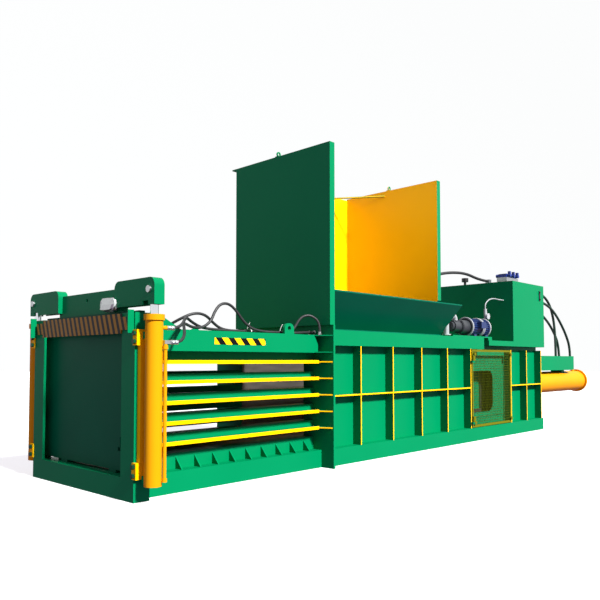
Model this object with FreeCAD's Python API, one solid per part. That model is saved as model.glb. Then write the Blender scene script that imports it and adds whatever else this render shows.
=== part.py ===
import FreeCAD, Part
import math
import os

# Horizontal recycling baler with a lifting gate, a bale chamber, a feed section under a hopper,
# a ram driven by one long main cylinder, and a power unit on the rear roof.
# Millimetres. X runs along the press, from the gate (low) to the main cylinder (high), and is 0 at
# the joint between bale chamber and feed section. Y is 0 on the centre plane. Z is 0 on the floor.

V = FreeCAD.Vector
NEAR = -1
FAR = 1

# Bale and ram
baleWidth = 1110.0
baleHeight = 1100.0
ramClearance = 4.0
ramSlide = 0.5
ramLength = 2700.0
ramRestX = 2215.0
ramPlate = 16.0
ramFacePlate = 60.0
grooveDepth = 25.0
grooveStep = 30.0

# Frames
baseHeight = 196.0
floorPlate = 20.0
sheet = 12.0
linerPlate = 20.0
flangePlate = 30.0
sillInner = 440.0
crossPlate = 16.0
channelCrossX = 3912.0
flangeHalfWidth = 1013.0
flangeTop = 1602.0
runningGap = 10.0

# Bale chamber
chamberLength = 2375.0
chamberWallOut = 708.0
chamberBeamOut = 834.0
chamberBeamBottom = 1289.0
chamberBeamTop = 1489.0
beamNoseX = -150.0
beamNoseCut = (60.0, 90.0)
beamLugPlate = 30.0
firstRibZ = 451.0
slotPitch = 184.0
slotCount = 5
slotHeight = 92.0
edgeBarHeight = 36.0
edgeBarThick = 16.0
edgeBarOut = 858.0
edgeBarEndX = -100.0
ribPlate = 14.0
ribFootOut = 1000.0
gussetCount = 9
gussetStart = 436.0
gussetPitch = 217.0
gussetReach = 99.0
gussetHeight = 112.0
lugX = -550.0
lugWidth = 144.0
lugHeight = 113.0
lugHole = 24.0
lugEdge = 52.0
lugShoulder = 12.0
braceLength = 430.0
braceHeight = 150.0
bracePlate = 16.0
braceInset = 40.0
roofRibCount = 5
roofRibStart = 120.0
roofRibPitch = 460.0
roofRibDrop = 20.0
roofRibWidth = 60.0

# Feed section
feedLength = 5785.0
feedPanelOut = 768.0
feedRibOut = 888.0
wallTop = 1375.0
firstFeedRib = 625.0
feedRibPitch = 658.0
feedRibCount = 5
guardBay = 1310.0
rearRibPitch = 575.0
feedRibPlate = 16.0
rearRibCount = 3
midRailZ = 796.0
midRailPlate = 16.0
upperBeamTop = 1553.0
upperBeamEnd = 3670.0
roofPlate = 24.0
rearRoofTop = 1435.0
rearRoofGap = 20.0
rearRoofCurb = 120.0
windowX = (3420.0, 4145.0)
windowZ = (405.0, 1045.0)
windowCorner = 130.0
windowFrameX = (3330.0, 4460.0)
windowFrameZ = (333.0, 1148.0)
windowPlate = 10.0
linerWindowInset = 30.0
bladeThick = 45.0
bladeHeight = 70.0
bladeHole = 9.0
bladeHolePitch = 160.0
guardGap = 24.0
guardBar = 34.0
guardHalfThick = 6.0
guardHingeOut = 26.0
hingePinRadius = 8.0
hingeKnuckleRadius = 16.0
meshPitch = 75.0
meshBar = 8.0
meshThick = 3.0
knobRadius = 26.0
knobReach = 30.0
guardZ = (206.0, 1368.0)
hingeHeights = (330.0, 1240.0)

# Hopper
hopperTop = 3672.0
hopperNearY = -1008.0
hopperFlange = 82.0
hopperSheet = 8.0
hopperRearX = 2160.0
rimOverhang = 80.0
rimPlate = 14.0
frontRibY = (-400.0, 150.0)
farRibX = (540.0, 1080.0, 1620.0)
farRibDepth = 60.0
rearRibY = (-520.0, -60.0, 300.0)
eyeY = (-150.0, -180.0)
eyeOuter = 32.0
eyeBore = 17.0
eyePlate = 14.0
eyeRise = 38.0
tieBarEnd = (1700.0, -130.0)
tieBarDrop = 70.0
tieBarRadius = 12.0
chuteEndX = 2810.0
chuteFootY = -640.0
chuteFootZ = 1575.0
chuteLipZ = 2000.0
chutePlate = 10.0

# Gate and its frame
gateFrameDepth = 160.0
gateFrameHalf = 940.0
gateOpeningHalf = 734.0
gateFrameTop = 1614.0
gateFramePlate = 25.0
columnPlate = 20.0
columnFinReach = 60.0
gateSideGap = 6.0
gateThick = 60.0
gateHalfWidth = 860.0
gateBottom = 222.0
gateFootY = 450.0
gateFootWidth = 120.0
gateOverlap = 30.0
hookY = (-610.0, -575.0, -540.0)
hookZ = (395.0, 430.0, 520.0)
headTop = 1848.0
earTop = 1906.0
earBottom = 1675.0
earInner = 530.0
earOuter = 1158.0
earDepth = 102.0
earPlate = 14.0
earCorner = 70.0
earNotchDepth = 35.0
hazardZ = (1435.0, 1608.0)
hazardHalf = 738.0
hazardFold = 15.0
hazardTabInset = 60.0

# Gate cylinders
gateCylinderY = 1085.0
gateCylinderAhead = 66.0
gateBarrelOut = 75.0
gateBarrelIn = 63.0
gateBarrelZ = (151.0, 1541.0)
gateRodRadius = 36.0
gateEyeZ = 1804.0
gateEyeRadius = 52.0
gateEyeWidth = 60.0
gateEyeGap = 6.0
gatePistonLow = 70.0
gatePistonLength = 60.0
gateFootDisc = 40.0
glandHeight = 50.0
glandLip = 13.0
gatePortZ = 1480.0
gatePortEnd = 110.0
gatePortOffset = 20.0
gatePortRadius = 17.0
bracketZ = ((170.0, 230.0), (1385.0, 1445.0))
bracketHalf = 45.0
clampZ = ((200.0, 340.0), (1330.0, 1465.0))
clampPlate = 12.0
clampReach = 50.0
clampLap = 12.0
guideInset = 30.0
guideDepth = 60.0
guideWidth = 45.0
clampBoltInset = 32.0
gatePinRadius = 22.0
sidePipeRadius = 16.0
sidePipeGap = 6.3
sidePipeZ = (200.0, 1340.0)
sidePipeTurn = 50.42
weldGap = 0.3
runningFit = 0.05

# Main cylinder
mainAxisZ = 755.0
mainBarrelOut = 215.0
mainBarrelIn = 180.0
mainRodRadius = 110.0
mainBarrelEnd = 9600.0
mainCapLip = 35.0
mainFlangeLip = 75.0
mainFlangeThick = 60.0
mainCapThick = 50.0
mainPistonThick = 180.0
bulkheadPlate = 60.0
ramPinRadius = 45.0
ramLugY = (85.0, 125.0)
ramLugRadius = 110.0
ramWebBack = 300.0
ramBladeHeight = 60.0
ramPinX = 4700.0
mainPistonX = 9340.0
glandRadius = 150.0

# Power unit
tankX = (4668.0, 5868.0)
tankY = (-888.0, 620.0)
tankTop = 2520.0
tankFrameX = (3829.0, 5868.0)
tankFrameTop = 1517.0
troughEnd = 8930.0
troughHalf = 228.0
troughRise = 32.0
troughDepth = 294.0
saddleX = (6600.0, 8600.0)
saddleHalf = (60.0, 120.0)
pumpX = (2990.0, 3190.0)
motorX = (3396.0, 3930.0)
pumpAxisY = -720.0
pumpAxisZ = 1713.0
shaftRadius = 21.0
standX = 4040.0
standTop = 2024.0
standRadius = 24.0
dialRadius = 48.0
dialDrop = 120.0
motorBaseX = (2815.0, 4000.0)
motorBaseY = (-850.0, -590.0)
motorBasePlate = 20.0
motorFootX = 3880.0
motorRadius = 136.0
motorShellOuter = 122.0
motorShellInner = 98.0
motorFinCount = 24
motorShield = 24.0
pumpRadius = 82.0
suctionRadius = 36.0
suctionX = 2858.0
suctionRise = 70.0
suctionBend = 66.0
hatchX = (5380.0, 5700.0)
hatchY = (-780.0, -420.0)
levelX = (5670.0, 5706.0)
levelZ = (2250.0, 2420.0)
breatherPlace = (4760.0, 40.0)
valveBlockX = (4800.0, 5230.0)
valveBlockY = (-720.0, -540.0)
valveBlockHeight = 90.0
valveCount = 3
valveFirstX = 4870.0
valvePitch = 145.0

# Hoses
gateHoseRadius = 14.0
rearHoseRadius = 25.0
archHoseRadius = 22.5
steelLineRadius = 9.0
gateHoseEndZ = 1520.0
rearHoseStartX = 5985.0
rearHoseEndZ = 1200.0
hoseBlockY = (-270.0, -30.0)
hoseBlockZ = (2150.0, 2430.0)
hoseBlockX = 5930.0
roofBlock = (2450.0, -400.0, 60.0, 1640.0)
lidBlockX = (4690.0, 4770.0)
lidBlockY = (-455.0, -385.0)
lidBlockTop = 2580.0

# Values that follow
halfBale = baleWidth / 2
floorTop = baseHeight + floorPlate
ceiling = floorTop + baleHeight
linerOut = halfBale + linerPlate
chamberFrontX = -chamberLength
gateFrameFront = chamberFrontX - gateFrameDepth
gateCylinderX = chamberFrontX - gateCylinderAhead
gussetFirstX = chamberFrontX + gussetStart
gateBackX = chamberFrontX - runningGap
gateFrontX = gateBackX - gateThick
edgeBarIn = edgeBarOut - edgeBarThick
ribHeights = [firstRibZ + slotPitch * i for i in range(slotCount)]
slotTops = [z - edgeBarHeight / 2 for z in ribHeights]
feedRibs = [firstFeedRib + feedRibPitch * i for i in range(feedRibCount)]
guardStart = feedRibs[-1]
guardEnd = guardStart + guardBay
rearRibs = [guardEnd + rearRibPitch * i for i in range(rearRibCount)]
ramBackX = ramRestX + ramLength
ramBottom = floorTop + ramSlide
ramTop = ceiling - ramClearance
ramHalf = halfBale - ramClearance
hopperFarY = linerOut + hopperSheet + 1
guardX = (guardStart + guardGap, guardEnd - guardGap)
guardHingeY = -feedRibOut - guardHingeOut
lugZ = chamberBeamTop + lugHeight - lugEdge
gateTop = hazardZ[1] + gateOverlap
mainCapRadius = mainBarrelOut + mainCapLip
mainFlangeRadius = mainBarrelOut + mainFlangeLip
mainFlangeEnd = feedLength + mainFlangeThick
troughZ = (mainAxisZ + mainBarrelOut + troughRise, mainAxisZ + mainBarrelOut + troughRise + troughDepth)
sidePipeOut = gateBarrelOut + sidePipeRadius + sidePipeGap

nodes = {}


def box(x, y, z):
    """A block between the limits given in each direction, in any order."""
    low = V(min(x), min(y), min(z))
    return Part.makeBox(max(x) - low.x, max(y) - low.y, max(z) - low.z, low)


def rod(start, end, radius):
    """A round bar from one point to another."""
    along = V(*end) - V(*start)
    return Part.makeCylinder(radius, along.Length, V(*start), along)


def tube(start, end, outer, inner):
    return rod(start, end, outer).cut(rod(start, end, inner))


def plate(points, direction):
    """A flat plate with the outline given, carried along a direction."""
    outline = [V(*p) for p in points]
    return Part.Face(Part.makePolygon(outline + outline[:1])).extrude(V(*direction))


def joined(shapes):
    return shapes[0].fuse(shapes[1:]).removeSplitter()


def group(shapes):
    return Part.makeCompound(shapes)


def mirrored(shape):
    return shape.mirror(V(0, 0, 0), V(0, 1, 0))


def bothSides(shape):
    """The near side's piece and its mirror image on the far side."""
    return group([shape, mirrored(shape)])


def roundedWindow(x, y, z, radius):
    """A block whose four edges along Y are rounded."""
    block = box(x, y, z)
    edges = [e for e in block.Edges if abs(e.tangentAt(e.FirstParameter).y) > 0.99]
    return block.makeFillet(radius, edges)


def hexBolt(centre, outward, across, height):
    """A hexagon head standing on its seat, carried along its axis."""
    out = V(*outward)
    side = V(0, 0, 1) if abs(out.z) < 0.5 else V(1, 0, 0)
    other = out.cross(side)
    reach = across / math.sqrt(3)
    corners = []
    for i in range(6):
        turn = math.radians(60 * i)
        corners.append(V(*centre) + side * (reach * math.cos(turn)) + other * (reach * math.sin(turn)))
    return Part.Face(Part.makePolygon(corners + corners[:1])).extrude(out * height)


def sill(x, halfWidth, crossX):
    """A base of two open channels, tied by cross plates."""
    parts = []
    for s in (NEAR, FAR):
        parts.append(box(x, (s * (halfWidth - sheet), s * halfWidth), (0, baseHeight)))
        parts.append(box(x, (s * sillInner, s * halfWidth), (baseHeight - sheet, baseHeight)))
        parts.append(box(x, (s * sillInner, s * halfWidth), (0, sheet)))
    half = crossPlate / 2
    for at in crossX:
        parts.append(box((at - half, at + half), (-halfWidth, halfWidth), (0, baseHeight)))
    return joined(parts)


def hollowBeam(x, y, z, wall):
    """A box section open at both ends along X."""
    inner = box(x, (y[0] + wall, y[1] - wall), (z[0] + wall, z[1] - wall))
    return box(x, y, z).cut(inner)


# ---- Bale chamber ----

def chamberBase():
    """The base under the bale, with gussets that stand on its ledge against the wall."""
    span = (chamberFrontX, -flangePlate)
    count = 5
    first = span[0] + crossPlate / 2
    step = (span[1] - span[0] - crossPlate) / count
    parts = [sill(span, chamberBeamOut, [first + step * i for i in range(count + 1)])]
    for s in (NEAR, FAR):
        foot = s * chamberWallOut
        for i in range(gussetCount):
            at = gussetFirstX + gussetPitch * i
            corners = [(at, foot, baseHeight), (at, foot + s * gussetReach, baseHeight),
                       (at, foot, baseHeight + gussetHeight)]
            parts.append(plate(corners, (sheet, 0, 0)))
    return joined(parts)


def chamberBars():
    """Six hollow bars that form one wall, with strap slots between them."""
    limits = [baseHeight] + slotTops
    x = (chamberFrontX, -flangePlate)
    bars = []
    for i in range(slotCount + 1):
        low = limits[i]
        high = slotTops[i] - slotHeight if i < slotCount else chamberBeamBottom
        bars.append(hollowBeam(x, (-chamberWallOut, -halfBale), (low, high), sheet))
    return group(bars)


def chamberRibs():
    """Five shelf ribs with thick edge bars, spreading to the joint flange."""
    ribs = []
    for z in ribHeights:
        low = z - ribPlate / 2
        outline = [(chamberFrontX, -chamberWallOut, low), (-flangePlate, -chamberWallOut, low),
                   (-flangePlate, -ribFootOut, low), (edgeBarEndX, -edgeBarOut, low),
                   (edgeBarEndX, -edgeBarIn, low), (chamberFrontX, -edgeBarIn, low)]
        bar = box((chamberFrontX, edgeBarEndX), (-edgeBarOut, -edgeBarIn),
                  (z - edgeBarHeight / 2, z + edgeBarHeight / 2))
        ribs.append(joined([plate(outline, (0, 0, ribPlate)), bar]))
    return group(ribs)


def chamberBeam():
    """The top side beam with a chamfered nose, foot plates to the flange and a lifting lug."""
    outer = -chamberBeamOut
    inner = -linerOut
    nose = beamNoseX + beamNoseCut[0]
    face = plate([(chamberFrontX, outer, chamberBeamBottom), (nose, outer, chamberBeamBottom),
                  (nose, outer, chamberBeamBottom + beamNoseCut[1]), (beamNoseX, outer, chamberBeamTop),
                  (chamberFrontX, outer, chamberBeamTop)], (0, sheet, 0))
    back = box((chamberFrontX, -flangePlate), (inner - sheet, inner), (chamberBeamBottom, chamberBeamTop))
    parts = [face, back]
    for z in (chamberBeamBottom, chamberBeamTop - sheet):
        outline = [(chamberFrontX, outer, z), (beamNoseX, outer, z), (-flangePlate, -ribFootOut, z),
                   (-flangePlate, inner, z), (chamberFrontX, inner, z)]
        parts.append(plate(outline, (0, 0, sheet)))
    shell = joined(parts)
    lug = box((lugX - lugWidth / 2, lugX + lugWidth / 2), (outer, outer + beamLugPlate),
              (chamberBeamTop, chamberBeamTop + lugHeight))
    crown = [e for e in lug.Edges if abs(e.tangentAt(e.FirstParameter).y) > 0.99
             and e.CenterOfMass.z > chamberBeamTop + 1]
    lug = lug.makeFillet(lugWidth / 2 - lugShoulder, crown)
    hole = rod((lugX, outer - 5, lugZ), (lugX, outer + beamLugPlate + 5, lugZ), lugHole)
    return joined([shell, lug.cut(hole)])


def chamberRoof():
    """The roof plate with its T-shaped cross ribs."""
    x = (chamberFrontX, -flangePlate)
    y = (-linerOut, linerOut)
    parts = [box(x, y, (ceiling, ceiling + roofPlate))]
    ribTop = chamberBeamTop - roofRibDrop
    for i in range(roofRibCount):
        at = x[0] + roofRibStart + roofRibPitch * i
        parts.append(box((at, at + sheet), y, (ceiling, ribTop)))
        parts.append(box((at - roofRibWidth / 2, at + roofRibWidth / 2), y, (ribTop - sheet, ribTop)))
    return joined(parts)


def jointFlange():
    """The plate between chamber and feed section, with the bale's passage through it."""
    body = box((-flangePlate, 0), (-flangeHalfWidth, flangeHalfWidth), (0, flangeTop))
    passage = box((-flangePlate - 5, 5), (-halfBale, halfBale), (floorTop, ceiling))
    return body.cut(passage)


def cornerBrace():
    """A four-sided plate that ties the top beam to the gate frame."""
    y = -chamberBeamOut + braceInset
    foot = chamberBeamTop
    outline = [(chamberFrontX, y, foot), (chamberFrontX + braceLength, y, foot),
               (chamberFrontX + braceHeight, y, foot + braceHeight), (chamberFrontX, y, gateFrameTop)]
    return plate(outline, (0, bracePlate, 0))


# ---- Gate frame and gate ----

def gateFrame():
    """A portal of two columns, a sill and a back frame, in which the gate slides."""
    front = (gateFrameFront, gateFrameFront + gateFramePlate)
    through = (gateFrameFront, chamberFrontX)
    back = (chamberFrontX - sheet, chamberFrontX)
    fin = (gateFrameHalf - columnPlate - 8, gateFrameHalf - columnPlate + 4)
    parts = []
    for s in (NEAR, FAR):
        column = (s * gateOpeningHalf, s * gateFrameHalf)
        side = (s * (gateFrameHalf - columnPlate), s * gateFrameHalf)
        parts.append(box(front, column, (0, gateFrameTop)))
        parts.append(box(through, side, (0, gateFrameTop)))
        parts.append(box(back, (s * (gateHalfWidth + gateSideGap), s * gateFrameHalf), (0, gateFrameTop)))
        parts.append(box((gateFrameFront - columnFinReach, gateFrameFront), (s * fin[0], s * fin[1]),
                         (hazardZ[0], gateFrameTop + columnPlate)))
    whole = (-gateFrameHalf, gateFrameHalf)
    parts.append(box(through, whole, (baseHeight - sheet, baseHeight)))
    parts.append(box(front, whole, (0, baseHeight)))
    parts.append(box(back, whole, (0, baseHeight)))
    return joined(parts + barrelBrackets())


def hazardBoard():
    """The cross board over the gate's opening, with a tab at each end."""
    x = (gateFrameFront - hazardFold, gateFrameFront)
    parts = [box(x, (-hazardHalf, hazardHalf), hazardZ)]
    for s in (NEAR, FAR):
        parts.append(box(x, (s * hazardHalf, s * (gateFrameHalf - hazardTabInset)),
                         (hazardZ[0] + gateOverlap, hazardZ[1] - gateOverlap)))
    return joined(parts)


def gatePanel():
    """The gate plate on its two feet, with strap grooves on its bale side and a hooked slot."""
    x = (gateFrontX, gateBackX)
    past = (x[0] - 5, x[1] + 5)
    panel = box(x, (-gateHalfWidth, gateHalfWidth), (gateBottom, gateTop))
    across = (-gateHalfWidth - 5, gateHalfWidth + 5)
    for top in slotTops:
        groove = box((gateBackX - grooveDepth, past[1]), across, (top - slotHeight + grooveStep, top))
        panel = panel.cut(groove)
    upright = box(past, hookY[:2], hookZ[1:])
    hook = box(past, (hookY[0], hookY[2]), hookZ[:2])
    feet = [box(x, (y - gateFootWidth / 2, y + gateFootWidth / 2), (baseHeight, gateBottom))
            for y in (-gateFootY, gateFootY)]
    return joined([panel.cut(upright.fuse(hook))] + feet)


def gateHead():
    """The head beam on the gate's top edge, with an ear at each end for a cylinder's pin."""
    beamHalf = earInner + 60
    parts = [box((gateFrontX, gateBackX), (-beamHalf, beamHalf), (gateTop, headTop))]
    earX = (gateCylinderX - earDepth / 2, gateCylinderX + earDepth / 2)
    past = (earX[0] - 5, earX[1] + 5)
    hollowTop = gateEyeZ + gateEyeRadius + gateEyeGap
    for s in (NEAR, FAR):
        outline = box(earX, (s * earInner, s * earOuter), (earBottom, earTop))
        corners = [e for e in outline.Edges if abs(e.tangentAt(e.FirstParameter).x) > 0.99
                   and e.CenterOfMass.z > earTop - 1]
        shell = outline.makeFillet(earCorner, corners)
        hollow = box((earX[0] + earPlate, earX[1] - earPlate),
                     (s * (earInner + 80), s * (earOuter - earPlate)), (earBottom - 5, hollowTop))
        notch = box(past, (s * (earOuter - 90), s * (earOuter - 175)),
                    (earBottom - 5, earBottom + earNotchDepth))
        at = (s * gateCylinderY, gateEyeZ)
        bore = rod((past[0],) + at, (past[1],) + at, gatePinRadius + runningFit)
        parts.append(shell.cut(hollow).cut(notch).cut(bore))
    window = rod((gateFrontX - 5, 40, headTop - 70), (gateBackX + 5, 40, headTop - 70), 16)
    return joined(parts).cut(window)


def gateRod():
    """A gate cylinder's rod with its piston at the bottom and its eye at the top."""
    axis = (gateCylinderX, -gateCylinderY)
    low = gateBarrelZ[0] + gatePistonLow
    at = (-gateCylinderY, gateEyeZ)
    half = gateEyeWidth / 2
    shaft = rod(axis + (low,), axis + (gateEyeZ,), gateRodRadius)
    piston = rod(axis + (low,), axis + (low + gatePistonLength,), gateBarrelIn - runningFit)
    eye = rod((gateCylinderX - half,) + at, (gateCylinderX + half,) + at, gateEyeRadius)
    bore = rod((gateCylinderX - gateEyeWidth,) + at, (gateCylinderX + gateEyeWidth,) + at, gatePinRadius)
    return joined([shaft, piston, eye]).cut(bore)


def gatePins():
    """The two pins that carry the gate on its rods, each with a head."""
    pins = []
    reach = earDepth / 2
    for s in (NEAR, FAR):
        at = (s * gateCylinderY, gateEyeZ)
        pin = rod((gateCylinderX - reach - 18,) + at, (gateCylinderX + reach + 14,) + at, gatePinRadius)
        head = rod((gateCylinderX - reach - 18,) + at, (gateCylinderX - reach,) + at, gatePinRadius + 8)
        pins.append(joined([pin, head]))
    return group(pins)


def gateBarrel():
    """A lift cylinder's barrel with its closed foot and its upper port."""
    axis = (gateCylinderX, -gateCylinderY)
    shell = tube(axis + (gateBarrelZ[0],), axis + (gateBarrelZ[1],), gateBarrelOut, gateBarrelIn)
    foot = rod(axis + (gateBarrelZ[0],), axis + (gateBarrelZ[0] + gateFootDisc,), gateBarrelIn)
    at = (-gateCylinderY - gatePortOffset, gatePortZ)
    port = rod((gateCylinderX,) + at, (gateCylinderX + gatePortEnd,) + at, gatePortRadius)
    port = port.cut(rod(axis + (gatePortZ - 60,), axis + (gatePortZ + 60,), gateBarrelIn + 4))
    return joined([shell, foot, port])


def gateGland():
    """The screwed cap at a barrel's top, through which the rod slides."""
    axis = (gateCylinderX, -gateCylinderY)
    top = gateBarrelZ[1]
    cap = rod(axis + (top,), axis + (top + glandHeight,), gateBarrelOut + glandLip)
    sleeve = rod(axis + (top - 60,), axis + (top + glandHeight,), gateBarrelIn)
    bore = rod(axis + (top - 70,), axis + (top + glandHeight + 10,), gateRodRadius + runningFit)
    return joined([cap, sleeve]).cut(bore)


def gateSidePipe():
    """The steel pipe that feeds the barrel's foot from its top."""
    turn = math.radians(sidePipeTurn)
    x = gateCylinderX + sidePipeOut * math.cos(turn)
    y = -gateCylinderY - sidePipeOut * math.sin(turn)
    parts = [rod((x, y, sidePipeZ[0]), (x, y, sidePipeZ[1]), sidePipeRadius)]
    for z in (sidePipeZ[0] - 14, sidePipeZ[1] - 44):
        parts.append(rod((x, y, z), (x, y, z + 30), sidePipeRadius + 7))
    axis = (gateCylinderX, -gateCylinderY)
    elbow = rod((x, y, sidePipeZ[0]), axis + (sidePipeZ[0],), sidePipeRadius)
    parts.append(elbow)
    barrel = rod(axis + (sidePipeZ[0] - 60,), axis + (sidePipeZ[1] + 60,), gateBarrelOut + weldGap)
    return joined(parts).cut(barrel)


def gateGuide():
    """The guide bar beside a column, with the clamp plates that hold it."""
    y = (-gateFrameHalf - guideWidth, -gateFrameHalf)
    front = gateFrameFront + guideInset
    parts = [box((front, front + guideDepth), y, (clampZ[0][0], clampZ[1][1]))]
    for z in clampZ:
        parts.append(box((gateFrameFront - clampPlate, gateFrameFront),
                         (-gateFrameHalf - clampReach, -gateFrameHalf + clampLap), z))
        parts.append(box((gateFrameFront, front), y, z))
    return joined(parts)


def guideBolts():
    """The hexagon bolts of all four clamp plates."""
    bolts = []
    for s in (NEAR, FAR):
        for z in clampZ:
            for at in (z[0] + clampBoltInset, z[1] - clampBoltInset):
                seat = (gateFrameFront - clampPlate, s * (gateFrameHalf + 19), at)
                bolts.append(hexBolt(seat, (-1, 0, 0), 36.0, 22.0))
    return bolts


def barrelBrackets():
    """Saddle brackets that carry the lift cylinders on the gate frame's columns."""
    guideEnd = gateFrameFront + guideInset + guideDepth + 2
    brackets = []
    for s in (NEAR, FAR):
        beside = (s * gateFrameHalf, s * (gateFrameHalf + guideWidth + 1))
        for z in bracketZ:
            arm = box((gateCylinderX - bracketHalf, gateCylinderX + bracketHalf),
                      (s * gateFrameHalf, s * (gateCylinderY - 20)), z)
            guide = box((gateFrameFront, guideEnd), beside, z)
            axis = (gateCylinderX, s * gateCylinderY)
            barrel = rod(axis + (z[0] - 5,), axis + (z[1] + 5,), gateBarrelOut + weldGap)
            brackets.append(arm.cut(guide).cut(barrel))
    return brackets


# ---- Feed section ----

def feedWall(window):
    """One side of the feed section: panel, upright ribs and middle rails with their edges outside."""
    panel = (-feedPanelOut, -feedPanelOut + sheet)
    parts = [box((0, feedLength), panel, (baseHeight, wallTop))]
    for at in feedRibs + rearRibs:
        parts.append(box((at - feedRibPlate / 2, at + feedRibPlate / 2), (-feedRibOut, -linerOut),
                         (baseHeight, wallTop)))
    for span in ((0, guardStart), (guardEnd, rearRibs[-1])):
        parts.append(box(span, (-feedRibOut, -feedPanelOut),
                         (midRailZ - midRailPlate / 2, midRailZ + midRailPlate / 2)))
    if not window:
        return joined(parts)
    hole = box((windowX[0] - 20, windowX[1] + 180), (panel[0] - 5, panel[1] + 5),
               (windowZ[0] - 30, windowZ[1] + 60))
    return joined(parts + hingePins()).cut(hole)


def feedLiner(window):
    """The replaceable wear plate inside one wall."""
    liner = box((0, feedLength - bulkheadPlate), (-linerOut, -halfBale), (floorTop, wallTop))
    if window:
        inset = linerWindowInset
        liner = liner.cut(box((windowX[0] + inset, windowX[1] - inset), (-linerOut - 5, -halfBale + 5),
                              (windowZ[0] + inset, windowZ[1] - inset)))
    return liner


def windowFrame():
    """The cover plate on the near wall, with a round-cornered window to the ram's tail."""
    y = (-feedPanelOut - windowPlate, -feedPanelOut)
    cover = box(windowFrameX, y, windowFrameZ)
    return cover.cut(roundedWindow(windowX, (y[0] - 5, y[1] + 5), windowZ, windowCorner))


def upperBeam():
    """The box beam over the ribs, capped at its rear end."""
    shell = hollowBeam((0, upperBeamEnd), (-feedRibOut, -linerOut), (wallTop, upperBeamTop), sheet)
    cap = box((upperBeamEnd - sheet, upperBeamEnd), (-feedRibOut, -linerOut), (wallTop, upperBeamTop))
    return joined([shell, cap])


def rearRoof():
    """The roof over the ram, from the hopper to the bulkhead, with its cross ribs and top plate."""
    start = hopperRearX
    y = (-halfBale, halfBale)
    parts = [box((start, feedLength - bulkheadPlate), y, (ceiling, ceiling + roofPlate)),
             box((start, start + roofPlate), y, (ceiling, upperBeamTop))]
    for at in range(2600, 5700, 430):
        parts.append(box((at, at + sheet), y, (ceiling, rearRoofTop - sheet)))
    top = (upperBeamEnd + rearRoofGap, feedLength)
    parts.append(box(top, (-feedPanelOut, feedPanelOut), (rearRoofTop - sheet, rearRoofTop)))
    for s in (NEAR, FAR):
        parts.append(box(top, (s * (feedPanelOut - rearRoofCurb), s * feedPanelOut), (wallTop, rearRoofTop)))
    return joined(parts)


def bulkhead():
    """The thick rear plate that takes the main cylinder's thrust."""
    body = box((feedLength - bulkheadPlate, feedLength), (-feedPanelOut + sheet, feedPanelOut - sheet),
               (baseHeight, wallTop))
    return body.cut(rod((feedLength - 100, 0, mainAxisZ), (feedLength + 20, 0, mainAxisZ), glandRadius))


def fixedBlade():
    """The shear blade at the front of the feed opening, with its countersunk bolts' holes."""
    blade = box((0, bladeThick), (-halfBale, halfBale), (ceiling, ceiling + bladeHeight))
    count = int((baleWidth - bladeHolePitch) / bladeHolePitch / 2)
    z = ceiling + bladeHeight / 2
    rows = [i * bladeHolePitch for i in range(-count, count + 1)]
    return blade.cut([rod((-5, y, z), (bladeThick + 5, y, z), bladeHole) for y in rows])


# ---- Hopper ----

def loop(x, y, z):
    """A small lifting eye that stands on a rim."""
    foot = box((x - 30, x + 30), (y - 30, y + 30), (z, z + 14))
    half = eyePlate / 2
    ring = tube((x, y - half, z + eyeRise), (x, y + half, z + eyeRise), eyeOuter, eyeBore)
    return foot.fuse(ring).removeSplitter()


def hopperFrontWall():
    """The high front wall, a sheet with flanges turned to the rear and a wider top rim."""
    x = (-hopperFlange, 0)
    y = (hopperNearY, hopperFarY)
    z = (flangeTop, hopperTop)
    parts = [box((x[0], x[0] + hopperSheet), y, z),
             box(x, (y[0], y[0] + hopperSheet), z),
             box(x, (y[1] - hopperSheet, y[1]), z),
             box(x, y, (z[0], z[0] + hopperSheet)),
             box(x, (y[0], y[1] + rimOverhang), (z[1] - rimPlate, z[1]))]
    for at in frontRibY:
        parts.append(box(x, (at, at + hopperSheet), z))
    parts.append(loop(-hopperFlange / 2, eyeY[0], z[1]))
    return joined(parts)


def hopperFarWall():
    """The far wall, a sheet with a top rim and outside stiffeners."""
    y = (hopperFarY - hopperSheet, hopperFarY)
    z = (upperBeamTop, hopperTop - 20)
    parts = [box((0, hopperRearX), y, z),
             box((0, hopperRearX), (y[0], y[1] + farRibDepth), (z[1] - hopperSheet, z[1]))]
    for at in farRibX:
        parts.append(box((at, at + hopperSheet), (y[1], y[1] + farRibDepth), z))
    return joined(parts)


def hopperRearWall():
    """The rear wall, cut away along the chute, with flanges turned to the rear."""
    x = hopperRearX
    depth = (x, x + hopperFlange)
    edge = hopperNearY
    lip = chuteLipZ + 20
    footY = chuteFootY + 15
    slope = (chuteLipZ - chuteFootZ) / (chuteFootY - edge)
    outline = [(x, edge, hopperTop), (x, edge, lip), (x, footY, lip - slope * (footY - edge)),
               (x, footY, upperBeamTop), (x, hopperFarY, upperBeamTop), (x, hopperFarY, hopperTop)]
    parts = [plate(outline, (hopperSheet, 0, 0)),
             box(depth, (edge, edge + hopperSheet), (lip, hopperTop)),
             box(depth, (edge, hopperFarY), (hopperTop - rimPlate, hopperTop)),
             box(depth, (hopperFarY - hopperSheet, hopperFarY), (upperBeamTop, hopperTop))]
    for at in rearRibY:
        parts.append(box(depth, (at, at + hopperSheet), (upperBeamTop + 200, hopperTop)))
    parts.append(loop(x + hopperFlange / 2, eyeY[1], hopperTop))
    return joined(parts)


def hopperChute():
    """The sloping near side of the hopper, between its two walls, on a narrow foot on the upper beam."""
    rise = chutePlate * 1.6
    outline = [(0, chuteFootY, chuteFootZ), (0, chuteFootY, chuteFootZ + rise),
               (0, hopperNearY, chuteLipZ), (0, hopperNearY, chuteLipZ - rise)]
    parts = [plate(outline, (chuteEndX, 0, 0)),
             box((0, chuteEndX), (chuteFootY - 6, chuteFootY + 6), (upperBeamTop, chuteFootZ + 8))]
    return joined(parts)


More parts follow.
